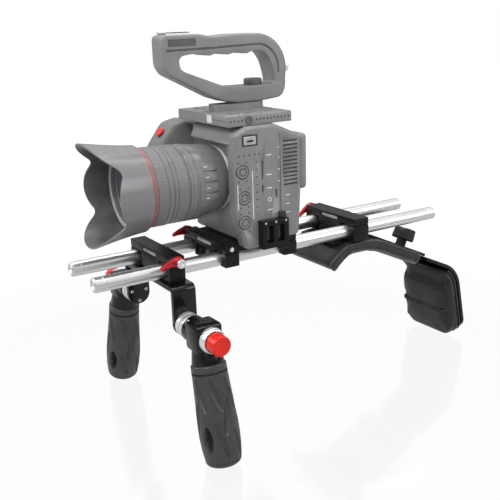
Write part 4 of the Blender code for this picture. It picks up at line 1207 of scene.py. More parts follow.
@dataclass
class HandGrip:
    """One handle: rosettes, head, cup, button and grip.

    Attributes:
        side: The side that it is on.
        teeth: The teeth around a rosette.
        tooth_depth: The depth of a tooth.
        around: The steps around the grip.
        along: The steps along the grip.
        lean: How far the grip leans out, in degrees.
        rim_depth: How far below the grip's top its rim's points lie, at most.
        collar: Where the groove under the collar lies, as a share of the grip's length.
        painted_shade_depth: The depth below which a recess's faces are painted near black, as painted shade.
        leaves: The leaf-shaped recesses.
        SLOT_ANGLE: Where the deep slot lies around the grip, in degrees.
    """

    side: Side
    teeth: int = 60
    tooth_depth: float = 0.0007
    around: int = 144
    along: int = 110
    lean: float = 13.2
    rim_depth: float = 0.0004
    collar: float = 0.085
    painted_shade_depth: float = 0.0031
    leaves: list[Leaf] = field(init=False)
    SLOT_ANGLE: ClassVar[float] = -62

    def __post_init__(self) -> None:
        """Lay the leaf recesses out: a deep slot in front and rows of slanted leaves around."""
        self.leaves = [Leaf(self.SLOT_ANGLE, 0.745, 0.135, 15, 0.0075)]
        rows = ((0.29, 0.185, 11, 0.0025, 28), (0.53, 0.20, 12, 0.0029, -26), (0.80, 0.16, 11, 0.0027, 22))
        for row, (height, half, width, depth, slant) in enumerate(rows):
            for index in range(7):
                angle = -20 + 360 / 7 * index + 25 * (row % 2)
                apart = (angle - self.SLOT_ANGLE + 180) % 360 - 180
                if abs(apart) < 34 and height > 0.5:
                    continue
                self.leaves.append(Leaf(angle, height + 0.03 * (index % 2), half, width, depth, slant))

    @property
    def body(self) -> str:
        """Return the name of the body that this handle is."""
        return self.side.word + "_handle"

    def build(self) -> None:
        """Make every piece of the handle."""
        word = self.side.word
        self.build_rosette("strap_rosette_" + word, Body.HANDLE_FRAME.value, True)
        self.build_rosette("head_rosette_" + word, self.body, False)
        refine("handle_head_" + word, "rounded", 0.0014, 3, BLACK_GLOSS, self.body)
        self.build_head_details()
        self.build_cup()
        self.build_button()
        self.build_grip()

    def build_rosette(self, node: str, body: str, outward: bool) -> None:
        """Make one silver rosette with radial teeth on its mating face.

        Args:
            node: The CAD node.
            body: The body that it rides on.
            outward: True if the teeth face out to the side.
        """
        low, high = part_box(node)
        radius, thick = (high.z - low.z) / 2, high.x - low.x
        centre = (low + high) / 2
        way = self.side.direction if outward else -self.side.direction
        start = centre - way * thick / 2
        bore, root = 0.0042, thick - self.tooth_depth
        profile = [(0, bore), (0, radius - 0.0006), (0.0006, radius), (root, radius), (thick, radius * 0.985),
                   (thick, radius * 0.62), (root, radius * 0.58), (root, bore)]
        item = Bench.lathe(node + "_toothed", profile, start, way, self.teeth * 4, closed=True)
        seat = way.to_track_quat("Z", "Y").to_matrix()
        for vertex in item.data.vertices:
            local = seat.transposed() @ (vertex.co - start)
            if abs(local.z - thick) < WELD:
                angle = math.atan2(local.y, local.x)
                valley = self.tooth_depth * (0.5 - 0.5 * math.cos(self.teeth * angle))
                vertex.co -= way * valley
        item.data.set_sharp_from_angle(angle=math.radians(25))
        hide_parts(node)
        dress(item, SILVER, body)

    def build_head_details(self) -> None:
        """Add the knuckle on the head's hub and a screw on the knuckle."""
        word = self.side.word
        low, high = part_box("handle_head_" + word)
        inner = low.x if self.side is Side.LEFT else high.x
        pivot = middle("head_rosette_" + word)
        out = Vector((0, -0.62, 0.785))
        radius, width = 0.0134, 0.0100
        start = Vector((inner, pivot.y, pivot.z)) + self.side.direction * 0.0004
        profile = [(0, radius - 0.0008), (0.0008, radius), (width, radius)]
        knuckle = Bench.lathe("head_knuckle_" + word, profile, start, self.side.direction, 72)
        dress(knuckle, BLACK_GLOSS, self.body)
        seat = start + self.side.direction * width * 0.5 + out * (radius - 0.0004)
        screw = ScrewHead(0.0021, 0.0010, 0.0010).build("head_screw_" + word, seat, out)
        dress(screw, SCREW, self.body)

    def build_cup(self) -> None:
        """Make the silver cup with its step and rounded lip."""
        node = "button_cup_" + self.side.word
        low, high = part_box(node)
        radius, deep = (high.z - low.z) / 2, high.x - low.x
        start = (low + high) / 2 - self.side.direction * deep / 2
        bore = (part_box("push_button_" + self.side.word)[1].z
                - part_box("push_button_" + self.side.word)[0].z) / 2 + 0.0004
        profile = [(0, radius - 0.0005), (0.0005, radius), (deep * 0.55, radius),
                   (deep * 0.60, radius - 0.0004), (deep - 0.0010, radius - 0.0005),
                   (deep - 0.0003, radius - 0.0009), (deep, radius - 0.0016), (deep, bore + 0.0006),
                   (deep - 0.0005, bore), (deep - 0.0044, bore)]
        cup = Bench.lathe(node + "_turned", profile, start, self.side.direction, 96)
        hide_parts(node)
        dress(cup, SILVER, self.body)

    def build_button(self) -> None:
        """Make the red push button, with a soft corner and a shallow dish in its face."""
        node = "push_button_" + self.side.word
        low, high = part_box(node)
        radius, length = (high.z - low.z) / 2, high.x - low.x
        start = (low + high) / 2 - self.side.direction * length / 2
        corner = 0.0012
        profile = [(0, radius * 0.97), (0.0003, radius), (length - corner, radius)]
        profile += [(length - corner + corner * math.sin(math.radians(t)),
                     radius - corner + corner * math.cos(math.radians(t))) for t in (25, 50, 75, 90)]
        profile += [(length, radius * 0.72), (length - 0.0002, radius * 0.40),
                    (length - 0.00025, radius * 0.1)]
        button = Bench.lathe(node + "_turned", profile, start, self.side.direction, 96)
        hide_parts(node)
        dress(button, RED_BUTTON, self.side.word + "_button")

    def axis(self) -> tuple[Vector, Vector, float]:
        """Return the grip's top, its direction and its length, read from the CAD grip and cap."""
        vertices = [vertex.co.copy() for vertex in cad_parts["grip_" + self.side.word].data.vertices]
        lean = math.radians(self.lean)
        down = Vector((self.side.value * math.sin(lean), 0, -math.cos(lean)))
        ends = [vertex.dot(down) for vertex in vertices]
        start = min(ends)
        rim = [vertex for vertex, end in zip(vertices, ends) if end < start + self.rim_depth]
        return sum(rim, Vector()) / len(rim), down, max(ends) - start

    def build_grip(self) -> None:
        """Make the moulded grip with its collar, leaf recesses and rounded end cap."""
        word = self.side.word
        top, down, length = self.axis()
        seat = down.to_track_quat("Z", "Y").to_matrix()
        radii = self.cad_radii(top, down, length)
        across = seat @ X_AXIS
        start_angle = math.degrees(math.atan2(across.y, across.x))
        rings = []
        for step in range(self.along + 1):
            share = step / self.along
            base = radii(share)
            ring = []
            for turn in range(self.around):
                angle = 360 * turn / self.around
                radius = base - self.relief(start_angle - angle, share)
                cosine, sine = math.cos(math.radians(angle)), math.sin(math.radians(angle))
                ring.append(top + seat @ Vector((radius * cosine, radius * sine, length * share)))
            rings.append(ring)
        grip = Bench.loft(f"grip_{word}_moulded", rings, 50)
        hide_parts("grip_" + word)
        dress(grip, GRIP_RUBBER, self.body)
        # Faces deeper than the shade depth take the near-black finish: painted shade in the deep recesses.
        grip.data.materials.append(PAINTED_GROOVE_SHADE.material())
        for face in grip.data.polygons:
            offset = face.center - top
            along = offset.dot(down)
            gap = radii(along / length) - (offset - down * along).length
            if gap > self.painted_shade_depth and 0.1 < along / length < 0.99:
                face.material_index = 1
        self.build_collar(top, down, radii)
        refine("grip_cap_" + word, "rounded", 0.0005, 2, GRIP_RUBBER, self.body)

    def relief(self, angle: float, share: float) -> float:
        """Return how far the grip's surface lies below its plain form.

        Args:
            angle: The angle around the grip in degrees.
            share: The share of its length from the top.

        Returns:
            The depth in metres.
        """
        rest = self.collar + 0.03
        groove = 0.0009 * math.exp(-((share - self.collar) / 0.006) ** 2)
        ends = 0.0012 * (max(0.0, 0.012 - share) / 0.012) ** 2
        if share < rest:
            return groove + ends
        return max(leaf.sink(angle, share) for leaf in self.leaves) * smooth((share - rest) / 0.04)

    def cad_radii(self, top: Vector, down: Vector, length: float) -> Callable[[float], float]:
        """Read the radius of the CAD grip along its length.

        Args:
            top: The middle of the grip's top.
            down: The grip's direction.
            length: The grip's length.

        Returns:
            A function from a share of the length to the radius there.
        """
        found: dict[float, list[float]] = {}
        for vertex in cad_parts["grip_" + self.side.word].data.vertices:
            offset = vertex.co - top
            along = offset.dot(down)
            reach = (offset - down * along).length
            found.setdefault(round(along / length, 3), []).append(reach)
        table = sorted((share, max(reaches)) for share, reaches in found.items())

        def radius(share: float) -> float:
            """Return the radius at a share, between the CAD rings."""
            for (low, first), (high, second) in zip(table, table[1:]):
                if share <= high:
                    part = (share - low) / max(1e-6, high - low)
                    return first + (second - first) * min(1.0, max(0.0, part))
            return table[-1][1]

        return radius

    def build_collar(self, top: Vector, down: Vector, radii: Callable[[float], float]) -> None:
        """Make the near-black ring in the groove under the collar, painted shade in the groove.

        Args:
            top: The middle of the grip's top.
            down: The grip's direction.
            radii: The plain radius along the grip.
        """
        width = 0.0015
        low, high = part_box("grip_" + self.side.word)
        outer = radii(self.collar) + 0.0001
        inner = outer - 0.0041
        profile = [(0, inner), (0, outer), (width, outer), (width, inner)]
        start = top + down * ((high.z - low.z) * self.collar - width / 2)
        ring = Bench.lathe("grip_ring_" + self.side.word, profile, start, down, closed=True)
        dress(ring, PAINTED_GROOVE_SHADE, self.body)


@dataclass
class HandleStrap:
    """The bent strap that carries both handles, and the screws in its legs.

    Attributes:
        bend_steps: The facets of a bend.
        edge: The rounding of its edges.
        screw_circle: The radius that the leg screws sit on.
    """

    bend_steps: int = 14
    edge: float = 0.0007
    screw_circle: float = 0.0088

    def build(self) -> None:
        """Make the strap, its leg screws and both handles."""
        low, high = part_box("handle_strap")
        thick, turn = 0.005, 0.006
        width = high.y - low.y
        outer, inner = high.x, high.x - thick
        right = arc((outer - turn, high.z - turn), turn, 90, 0, self.bend_steps) + [(outer, low.z)]
        back = [(inner, low.z)] + arc((outer - turn, high.z - turn), turn - thick, 0, 90, 4)
        upper = [(-x, z) for x, z in reversed(right)] + right
        lower = mirrored(back)
        strap = Bench.prism("handle_strap_bent", upper + lower, "Y", low.y, high.y)
        mid_y, pivot_z = (low.y + high.y) / 2, low.z + width / 2
        cutters = []
        for side in Side:
            ends = ordered(side, outer - 0.010, outer + 0.010)
            room = Bench.box("room", (ends[0], low.y - 0.01, low.z - 0.01),
                             (ends[1], high.y + 0.01, pivot_z))
            keep = Bench.lathe("keep", [(-0.02, width / 2), (0.02, width / 2)],
                               Vector((side.value * outer, mid_y, pivot_z)), X_AXIS, 96)
            cutters.append(Bench.boolean(room, [keep], "DIFFERENCE"))
        Bench.cut(strap, *cutters)
        Bench.round_edges(strap, self.edge, 2, 50)
        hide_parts("handle_strap")
        dress(strap, BLACK_GLOSS, Body.HANDLE_FRAME.value)
        self.build_screws(inner, mid_y, pivot_z)
        for side in Side:
            HandGrip(side).build()

    def build_screws(self, inner: float, mid_y: float, pivot_z: float) -> None:
        """Put three screws in the inner face of each leg.

        Args:
            inner: The inner face's distance from the middle.
            mid_y: The legs' middle along Y.
            pivot_z: The height of the tilt axis.
        """
        for side in Side:
            heads = []
            for angle in (20, 160, 270):
                turn = math.radians(angle)
                seat = Vector((side.value * inner, mid_y + self.screw_circle * math.cos(turn),
                               pivot_z + self.screw_circle * math.sin(turn)))
                heads.append(ScrewHead(0.0017, 0.0007, 0.0009).build("head", seat, -side.direction))
            dress(Bench.join("strap_screws_" + side.word, heads), SCREW, Body.HANDLE_FRAME.value)


# The pads

def sections(node: str, point: Vector, normal: Vector) -> list[list[Vector]]:
    """Return the closed outlines where a plane crosses a CAD node, the longest first.

    Args:
        node: The CAD node.
        point: A point on the plane.
        normal: The plane's normal.

    Returns:
        The outlines, without points on straight lines.
    """
    builder = bmesh.new()
    builder.from_mesh(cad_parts[node].data)
    everything = builder.verts[:] + builder.edges[:] + builder.faces[:]
    bmesh.ops.bisect_plane(builder, geom=everything, plane_co=point, plane_no=normal, clear_inner=True,
                           clear_outer=True)
    bmesh.ops.remove_doubles(builder, verts=builder.verts, dist=0.00002)
    builder.edges.ensure_lookup_table()
    left = set(builder.edges)
    loops = []
    while left:
        edge = left.pop()
        vertex = edge.verts[1]
        loop = [edge.verts[0].co.copy(), vertex.co.copy()]
        following = [link for link in vertex.link_edges if link in left]
        while following:
            edge = following[0]
            left.discard(edge)
            vertex = edge.other_vert(vertex)
            loop.append(vertex.co.copy())
            following = [link for link in vertex.link_edges if link in left]
        loops.append(straighten(loop[:-1]))
    builder.free()
    return sorted(loops, key=line_length, reverse=True)


def line_length(points: Sequence[Vector]) -> float:
    """Return the length around a closed line."""
    return sum((first - second).length for first, second in zip(points, list(points[1:]) + [points[0]]))


def straighten(points: Sequence[Vector], least: float = 1.5) -> list[Vector]:
    """Drop the points of a closed line where it turns less than an angle in degrees."""
    kept = []
    for index, point in enumerate(points):
        before, after = points[index - 1], points[(index + 1) % len(points)]
        first, second = point - before, after - point
        if first.length > 1e-7 and second.length > 1e-7 and math.degrees(first.angle(second)) > least:
            kept.append(point)
    return kept


def round_corners(points: Sequence[Vector], reach: float, steps: int = 4) -> list[Vector]:
    """Round each corner of a closed line.

    Args:
        points: The corners.
        reach: How far from a corner its rounding starts, at most.
        steps: The steps around a corner.

    Returns:
        The rounded line.
    """
    line = []
    for index, corner in enumerate(points):
        ends = []
        for other in (points[index - 1], points[(index + 1) % len(points)]):
            ends.append(corner.lerp(other, min(0.45, reach / max(1e-6, (other - corner).length))))
        for step in range(steps + 1):
            share = step / steps
            line.append(ends[0].lerp(corner, share).lerp(corner.lerp(ends[1], share), share))
    return line


def inset(points: Sequence[Vector], distance: float) -> list[Vector]:
    """Return a closed line in a plane across X, moved inwards.

    Args:
        points: The line's points.
        distance: How far in it moves.

    Returns:
        The moved line.
    """
    moved = []
    area = sum(first.y * second.z - second.y * first.z
               for first, second in zip(points, list(points[1:]) + [points[0]]))
    turn = X_AXIS if area > 0 else -X_AXIS
    for index, point in enumerate(points):
        along = points[(index + 1) % len(points)] - points[index - 1]
        moved.append(point + turn.cross(along).normalized() * distance)
    return moved


def flat(points: Sequence[Vector]) -> list[Point]:
    """Return the Y and Z of points."""
    return [(point.y, point.z) for point in points]


@dataclass(frozen=True)
class PlatePath:
    """Places round the back plate: up its straight leg and round its bend.

    Attributes:
        foot: The (y, z) of the lower end of the plate's outer side.
        centre: The (y, z) of the bend's centre.
        radius: The bend's outer radius.
        straight: The length of the straight leg.
        tilt: The leg's tilt in degrees.
    """

    foot: Point = (0.3166, -0.1549)
    centre: Point = (0.2598, -0.0995)
    radius: float = 0.044
    straight: float = 0.066
    tilt: float = 12.0

    @property
    def front(self) -> Vector:
        """Return the way that the leg's free face looks."""
        tilt = math.radians(self.tilt)
        return Vector((0, -math.cos(tilt), -math.sin(tilt)))

    @property
    def rise(self) -> Vector:
        """Return the way up along the leg."""
        tilt = math.radians(self.tilt)
        return Vector((0, -math.sin(tilt), math.cos(tilt)))

    def place(self, x: float, along: float, depth: float) -> Vector:
        """Return a point.

        Args:
            x: The distance to the left of the middle.
            along: The distance up from the foot.
            depth: The distance in front of the plate's outer side.

        Returns:
            The point.
        """
        if along <= self.straight:
            return Vector((x, *self.foot)) + self.rise * along + self.front * depth
        angle = math.radians(self.tilt) + (along - self.straight) / self.radius
        outward = Vector((0, math.cos(angle), math.sin(angle)))
        return Vector((x, *self.centre)) + outward * (self.radius - depth)

    def edge_line(self, half: float, corner: float, start: float, top: float, depth: float) -> list[Vector]:
        """Return the U-shaped line down one edge, round the foot and up the other.

        Args:
            half: Half the width between the edges.
            corner: The radius of the corners at the foot.
            start: Where the foot is along the leg.
            top: Where the line ends along the path.
            depth: The depth of the line.

        Returns:
            The line's points.
        """
        upper = [(half, start + corner + (top - start - corner) * step / 24) for step in range(24, 0, -1)]
        lower = arc((half - corner, start + corner), corner, 0, -90, 8)
        line = mirrored(upper + lower)
        return [self.place(x, along, depth) for x, along in line]

    def trim(self, item: Object, half: float, corner: float, start: float) -> Object:
        """Round the two corners at a piece's foot.

        Args:
            item: The piece.
            half: Half its width.
            corner: The corners' radius.
            start: Where its foot is along the leg.

        Returns:
            The same piece.
        """
        wide, tall = half * 1.4, 0.2
        right = arc((half - corner, start + corner), corner, -90, 0, 8) + [(half, start + corner * 1.5)]
        right += [(wide, start + corner * 2.2), (wide, tall)]
        outline = mirrored(right)
        keep = Bench.prism("keep", outline, "Y", -0.12, 0.05)
        turn = Matrix.Rotation(math.radians(self.tilt), 4, "X")
        keep.data.transform(Matrix.Translation(Vector((0, *self.foot))) @ turn)
        return Bench.boolean(item, [keep], "INTERSECT")


@dataclass
class Cushion:
    """A stuffed cushion grown from its CAD node.

    Attributes:
        node: The CAD node.
        body: The body that it rides on.
        hard_side: The way that its flat, fixed side looks.
        piping_lines: The lines that its piping follows, and whether they are closed.
        trim: Rounds the cover's corners, if it has any to round.
        voxel: The size of its cloth's grid.
        pressure: How hard it is blown up.
        swell: How far its cover may stand out from the CAD.
        piping: The piping's radius.
        finish: The cover's finish.
        frames: The frames that the simulation runs.
    """

    node: str
    body: Body
    hard_side: Vector
    piping_lines: Sequence[tuple[Sequence[Vector], bool]]
    trim: Optional[Callable[[Object], Object]] = None
    voxel: float = 0.0042
    pressure: float = 4.0
    swell: float = 0.0022
    piping: float = 0.0009
    finish: Finish = PAD_CLOTH
    frames: int = 20

    def build(self) -> Object:
        """Make the cover and its piping.

        Returns:
            The cover.
        """
        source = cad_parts[self.node]
        cover = add_object(self.node + "_stuffed", source.data.copy())
        if self.trim is not None:
            self.trim(cover)
        remesh = cover.modifiers.new("grid", "REMESH")
        remesh.mode = "VOXEL"
        remesh.voxel_size = self.voxel
        Bench.apply(cover)
        rest = [vertex.co.copy() for vertex in cover.data.vertices]
        normals = [vertex.normal.copy() for vertex in cover.data.vertices]
        self.blow_up(cover)
        self.hold(cover, rest, normals)
        divide = cover.modifiers.new("smooth", "SUBSURF")
        divide.levels = divide.render_levels = 1
        Bench.apply(cover)
        cover.data.shade_smooth()
        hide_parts(self.node)
        dress(cover, self.finish, self.body.value)
        self.add_piping()
        return cover

    def blow_up(self, cover: Object) -> None:
        """Run a short cloth simulation with pressure inside.

        Args:
            cover: The cushion's cover.
        """
        cloth = cover.modifiers.new("stuffing", "CLOTH")
        settings = cloth.settings
        settings.quality = 6
        settings.mass = 0.2
        settings.tension_stiffness = settings.compression_stiffness = 25
        settings.bending_stiffness = 1.5
        settings.use_pressure = True
        settings.uniform_pressure_force = self.pressure
        settings.effector_weights.gravity = 0
        scene = bpy.context.scene
        cloth.point_cache.frame_start, cloth.point_cache.frame_end = 1, self.frames
        for number in range(1, self.frames + 1):
            scene.frame_set(number)
        Bench.apply(cover)
        scene.frame_set(1)

    def hold(self, cover: Object, rest: Sequence[Vector], normals: Sequence[Vector]) -> None:
        """Keep the cover near its CAD form, and off the part that it is fixed to.

        Args:
            cover: The cushion's cover.
            rest: Where its vertices were before.
            normals: The way they looked before.
        """
        for vertex, place, normal in zip(cover.data.vertices, rest, normals):
            shift = vertex.co - place
            room = 0.0 if normal.dot(self.hard_side) > 0.3 or self.in_recess(place) else self.swell
            if shift.length > room:
                shift = shift * (room / shift.length)
            vertex.co = place + shift

    def in_recess(self, place: Vector) -> bool:
        """Return whether a point lies in the recess of the fixed side."""
        low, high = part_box(self.node)
        behind = self.hard_side.dot(place - middle(self.node)) > -0.001
        return behind and abs(place.x) < (high.x - low.x) * 0.36

    def add_piping(self) -> None:
        """Sew round piping along the outline of each piped face."""
        cords = [Bench.tube("cord", line, self.piping, closed, 8) for line, closed in self.piping_lines]
        dress(Bench.join(self.node + "_piping", cords), PIPING, self.body.value)


@dataclass
class ShoulderPads:
    """The pad frame, both cushions, the back plate and the lock knob.

    Attributes:
        slope: The slope of the frame's rear half in degrees.
        foot_corner: The radius of the corners at the back pad's foot.
        overhang: How far the cushion's foot lies from the plate's.
    """

    slope: float = 24.5
    foot_corner: float = 0.015
    overhang: float = -0.003

    def build(self) -> None:
        """Make every piece."""
        refine("pad_frame", "rounded", 0.0005, 2, BLACK, Body.SHOULDER.value)
        path = PlatePath()
        plate = Bench.refined("back_plate", "back_plate_bent", 0.0006, 2)
        dress(path.trim(plate, 0.041, self.foot_corner, 0.0), BLACK_GLOSS, Body.BACK.value)
        rims = []
        for x in (0.0409, -0.0409):
            rim = sections("shoulder_pad", Vector((x, 0, 0)), X_AXIS)[0]
            rims.append((inset(round_corners(rim, 0.005), 0.0015), True))
        Cushion("shoulder_pad", Body.SHOULDER, Vector((0, 0.2, 0.98)).normalized(), rims).build()
        seams = [(path.edge_line(0.0388, self.foot_corner, self.overhang, 0.098, depth), False)
                 for depth in (0.0056, 0.0118)]
        Cushion("back_cushion", Body.BACK, -path.front, seams, finish=PAD_SKIN,
                trim=lambda item: path.trim(item, 0.039, self.foot_corner, self.overhang)).build()
        self.build_groove(path)
        self.build_lining()
        self.build_knob()

    @staticmethod
    def build_lining() -> None:
        """Hang the pale lining under the sloped half of the shoulder pad."""
        start, end, sag, lift, half = 0.168, 0.228, 0.0085, 0.003, 0.037
        rim = round_corners(sections("shoulder_pad", Vector((0.0409, 0, 0)), X_AXIS)[0], 0.002)
        spans = [(point.y, point.z) for point in rim if start < point.y < end]
        line = []
        for y, z in sorted(spans):
            lowest = min(other for at, other in spans if abs(at - y) < 0.012)
            if z < lowest + 0.006:
                line.append((y, z))
        upper = [(y, z + lift) for y, z in line]
        lower = [(y, z - sag * math.sin(math.pi * (y - start) / (end - start)) ** 0.6) for y, z in line]
        lining = Bench.prism("shoulder_pad_lining", upper + lower[::-1], "X", -half, half)
        Bench.round_edges(lining, 0.0015, 3, 50)
        dress(lining, PAD_LINING, Body.SHOULDER.value)

    def build_groove(self, path: PlatePath) -> None:
        """Lay the near-black welt across the cushion's free face, painted shade of the step across it.

        Args:
            path: The places round the plate.
        """
        along, deep, half = 0.036, 0.0274, 0.0315
        bow = arc((half, deep - 0.0050), 0.0050, 0, 90, 6)
        line = [path.place(x, along, depth) for x, depth in mirrored(bow)]
        seam = Bench.tube("back_cushion_shade_welt", line, 0.0029, sides=10)
        dress(seam, PAINTED_GROOVE_SHADE, Body.BACK.value)

    def build_knob(self) -> None:
        """Make the T-shaped lock knob: stem, collar and a bar with two lobes."""
        knob = Bench.refined("lock_knob", "lock_knob_moulded", 0.0010, 3)
        tilt = math.radians(self.slope)
        normal = Vector((0, math.sin(tilt), math.cos(tilt)))
        down = Vector((0, math.cos(tilt), -math.sin(tilt)))
        top = max((vertex.co for vertex in knob.data.vertices), key=normal.dot)
        crown = Vector((0, top.y, top.z)) + normal * 0.0016
        crown -= down * down.dot(crown - middle("lock_knob"))
        notch = Bench.lathe("notch", [(-0.02, 0.0062), (0.02, 0.0062)], crown, down, 40)
        Bench.cut(knob, notch)
        dress(knob, KNOB, Body.LOCK_KNOB.value)


# The camera

class Shell:
    """A camera piece whose details sit on its real surface."""

    def __init__(self, item: Object) -> None:
        """Keep the piece.

        Args:
            item: The shell.
        """
        self.item = item

    def face(self, y: float, z: float) -> float:
        """Return the X of the shell's outer surface on the operator's left at a point."""
        hit, place, _, _ = self.item.ray_cast(Vector((0.3, y, z)), Vector((-1, 0, 0)))
        return place.x if hit else 0.055

    def disc(self, name: str, y: float, z: float, profile: Profile, sides: int = 48) -> Object:
        """Turn a profile on the side face.

        Args:
            name: The object's name.
            y: The disc's middle along Y.
            z: The disc's middle along Z.
            profile: Points (height over the face, radius).
            sides: The steps around.

        Returns:
            The disc.
        """
        return Bench.lathe(name, profile, Vector((self.face(y, z), y, z)), X_AXIS, sides)

    def slab(self, name: str, y: Point, z: Point, height: float, depth: float = 0.001) -> Object:
        """Return a thin block that lies in the side face.

        Args:
            name: The object's name.
            y: Its ends along Y.
            z: Its ends along Z.
            height: How far it stands out.
            depth: How far it reaches in.

        Returns:
            The block.
        """
        x = self.face(sum(y) / 2, sum(z) / 2)
        return Bench.box(name, (x - depth, y[0], z[0]), (x + height, y[1], z[1]))


@dataclass
class CameraBody:
    """The camera's shell with its side controls.

    Attributes:
        edge: The rounding of the shell's edges.
        pads: The middles (y, z) of the round speaker pads.
        pad_radius: Their radius.
        vent: The vent's ends along Y and Z.
        slats: The vent's slots.
    """

    edge: float = 0.0014
    pads: tuple[Point, ...] = ((-0.0265, 0.100), (-0.0255, 0.074), (-0.0255, 0.049))
    pad_radius: float = 0.0072
    vent: tuple[Point, Point] = ((0.0215, 0.0395), (0.079, 0.127))
    slats: int = 12

    def build(self) -> None:
        """Make the shell, its cuts and its small parts."""
        item = Bench.refined("camera_body", "camera_shell", self.edge)
        shell = Shell(item)
        cutters = self.cutters(shell)
        small = self.small_parts(shell)
        Bench.cut(item, *cutters)
        dress(item, CAMERA, Body.RIG.value)
        for piece, finish in small:
            dress(piece, finish, Body.RIG.value)

    def recesses(self) -> list[tuple[Point, Point, float]]:
        """Return the (y, z, depth) spans of the slits in the side."""
        (y_low, y_high), (z_low, z_high) = self.vent
        pitch = (z_high - z_low) / self.slats
        found = []
        for index in range(self.slats):
            level = z_low + pitch * (index + 0.5)
            found.append(((y_low, y_high), (level - pitch * 0.24, level + pitch * 0.24), 0.0020))
        found.append(((-0.0046, -0.0024), (0.090, 0.108), 0.0016))
        found.append(((-0.0046, -0.0024), (0.077, 0.084), 0.0016))
        found.append(((0.0112, 0.0136), (0.069, 0.078), 0.0016))
        found.append(((0.0176, 0.0184), (0.036, 0.134), 0.0008))
        found.append(((-0.0265, -0.0085), (0.1245, 0.1355), 0.0022))
        return found

    def holes(self) -> list[Point]:
        """Return the (y, z) of the small threaded holes."""
        found = [(-0.0305 + 0.006 * index, 0.116) for index in range(5)]
        for y, z in self.pads:
            found += [(y + side * 0.0078, z + rise * 0.0092) for side in (-0.6, 0.6) for rise in (-1, 1)]
        found += [(-0.0105, 0.108 - 0.0075 * index) for index in range(9)]
        return found

    def cutters(self, shell: Shell) -> list[Object]:
        """Return the bodies to cut out of the shell's side.

        Args:
            shell: The shell.

        Returns:
            The cutters, which don't touch each other.
        """
        found = [shell.slab("slot", y, z, 0.003, depth) for y, z, depth in self.recesses()]
        for y, z in self.pads:
            found.append(shell.disc("well", y, z, [(-0.0016, self.pad_radius), (0.003, self.pad_radius)]))
        for y, z in self.holes():
            found.append(shell.disc("hole", y, z, [(-0.0016, 0.0009), (0.003, 0.0009)], 16))
        return found

    def small_parts(self, shell: Shell) -> list[tuple[Object, Finish]]:
        """Return the small pieces of the side with their finishes.

        Args:
            shell: The shell.

        Returns:
            The pieces and finishes.
        """
        # Dark floors in the slits, holes and pad wells and dark dots round the pads: painted shade of the
        # recesses and holes.
        shade_floors = [shell.slab("floor", y, z, 0.0003 - depth, depth + 0.0004)
                  for y, z, depth in self.recesses()]
        bottom = [(-0.0020, 0.0008), (-0.0009, 0.0008)]
        shade_floors += [shell.disc("floor", y, z, bottom, 12) for y, z in self.holes()]
        grilles = []
        outer = self.pad_radius
        for y, z in self.pads:
            shade_floors.append(shell.disc("floor", y, z, [(-0.0018, outer - 0.0001), (-0.0011, outer - 0.0001)]))
            grilles.append(shell.disc("grille", y, z, [
                (-0.0014, outer - 0.0011), (0.0002, outer - 0.0011), (0.0006, outer - 0.0017),
                (0.0005, outer - 0.0024), (-0.0006, outer - 0.0028), (-0.0006, outer - 0.0040),
                (0.0003, outer - 0.0044), (0.0003, 0.0006)]))
            for index in range(6):
                turn = math.pi * index / 3
                reach = outer * 0.42
                shade_floors.append(shell.disc("dot", y + reach * math.cos(turn), z + reach * math.sin(turn),
                                         [(-0.0006, 0.0006), (0.0004, 0.0006)], 12))
        lug_low = shell.slab("lug", (-0.0245, -0.0105), (0.1258, 0.1342), 0.0008)
        lug = Bench.round_edges(lug_low, 0.0020, 4)
        Bench.cut(lug, shell.slab("slot", (-0.0215, -0.0135), (0.1284, 0.1306), 0.003, 0.003))
        screw = shell.disc("side_screw", -0.0075, 0.030, [
            (-0.0006, 0.0021), (0.0006, 0.0021), (0.0009, 0.0016), (0.0009, 0.0009), (0.0, 0.0008)], 24)
        return [(Bench.join("camera_grilles", grilles), CAMERA),
                (Bench.join("camera_recess_floors", shade_floors), CAMERA_DARK_AND_SHADE),
                (Bench.join("camera_marks", self.marks(shell)), CAMERA_MARK_AND_HIGHLIGHT), (lug, LABEL), (screw, SCREW)]

    @staticmethod
    def marks(shell: Shell) -> list[Object]:
        """Return the pale lines and dashes of the side.

        Args:
            shell: The shell.

        Returns:
            The marks.
        """
        lines = [shell.slab("line", (-0.0160, -0.0152), (0.051, 0.100), 0.0003),
                 shell.slab("line", (-0.0328, -0.0320), (0.063, 0.088), 0.0003)]
        columns = (((0.0012, 0.0072), 0.0005, (0.1137, 0.094, 0.0804, 0.0579)),
                   ((0.0150, 0.0170), 0.0004, (0.120, 0.110, 0.098, 0.086)),
                   ((0.024, 0.029), 0.0004, (0.070, 0.061, 0.052)))
        for span, half, levels in columns:
            lines += [shell.slab("dash", span, (z - half, z + half), 0.0002) for z in levels]
        y, z = 0.0042, 0.0686
        ring = [(-0.0004, 0.0022), (0.0002, 0.0022), (0.0002, 0.0016), (-0.0004, 0.0016)]
        lines.append(Bench.lathe("ring", ring, Vector((shell.face(y, z), y, z)), X_AXIS, 32, True))
        return lines


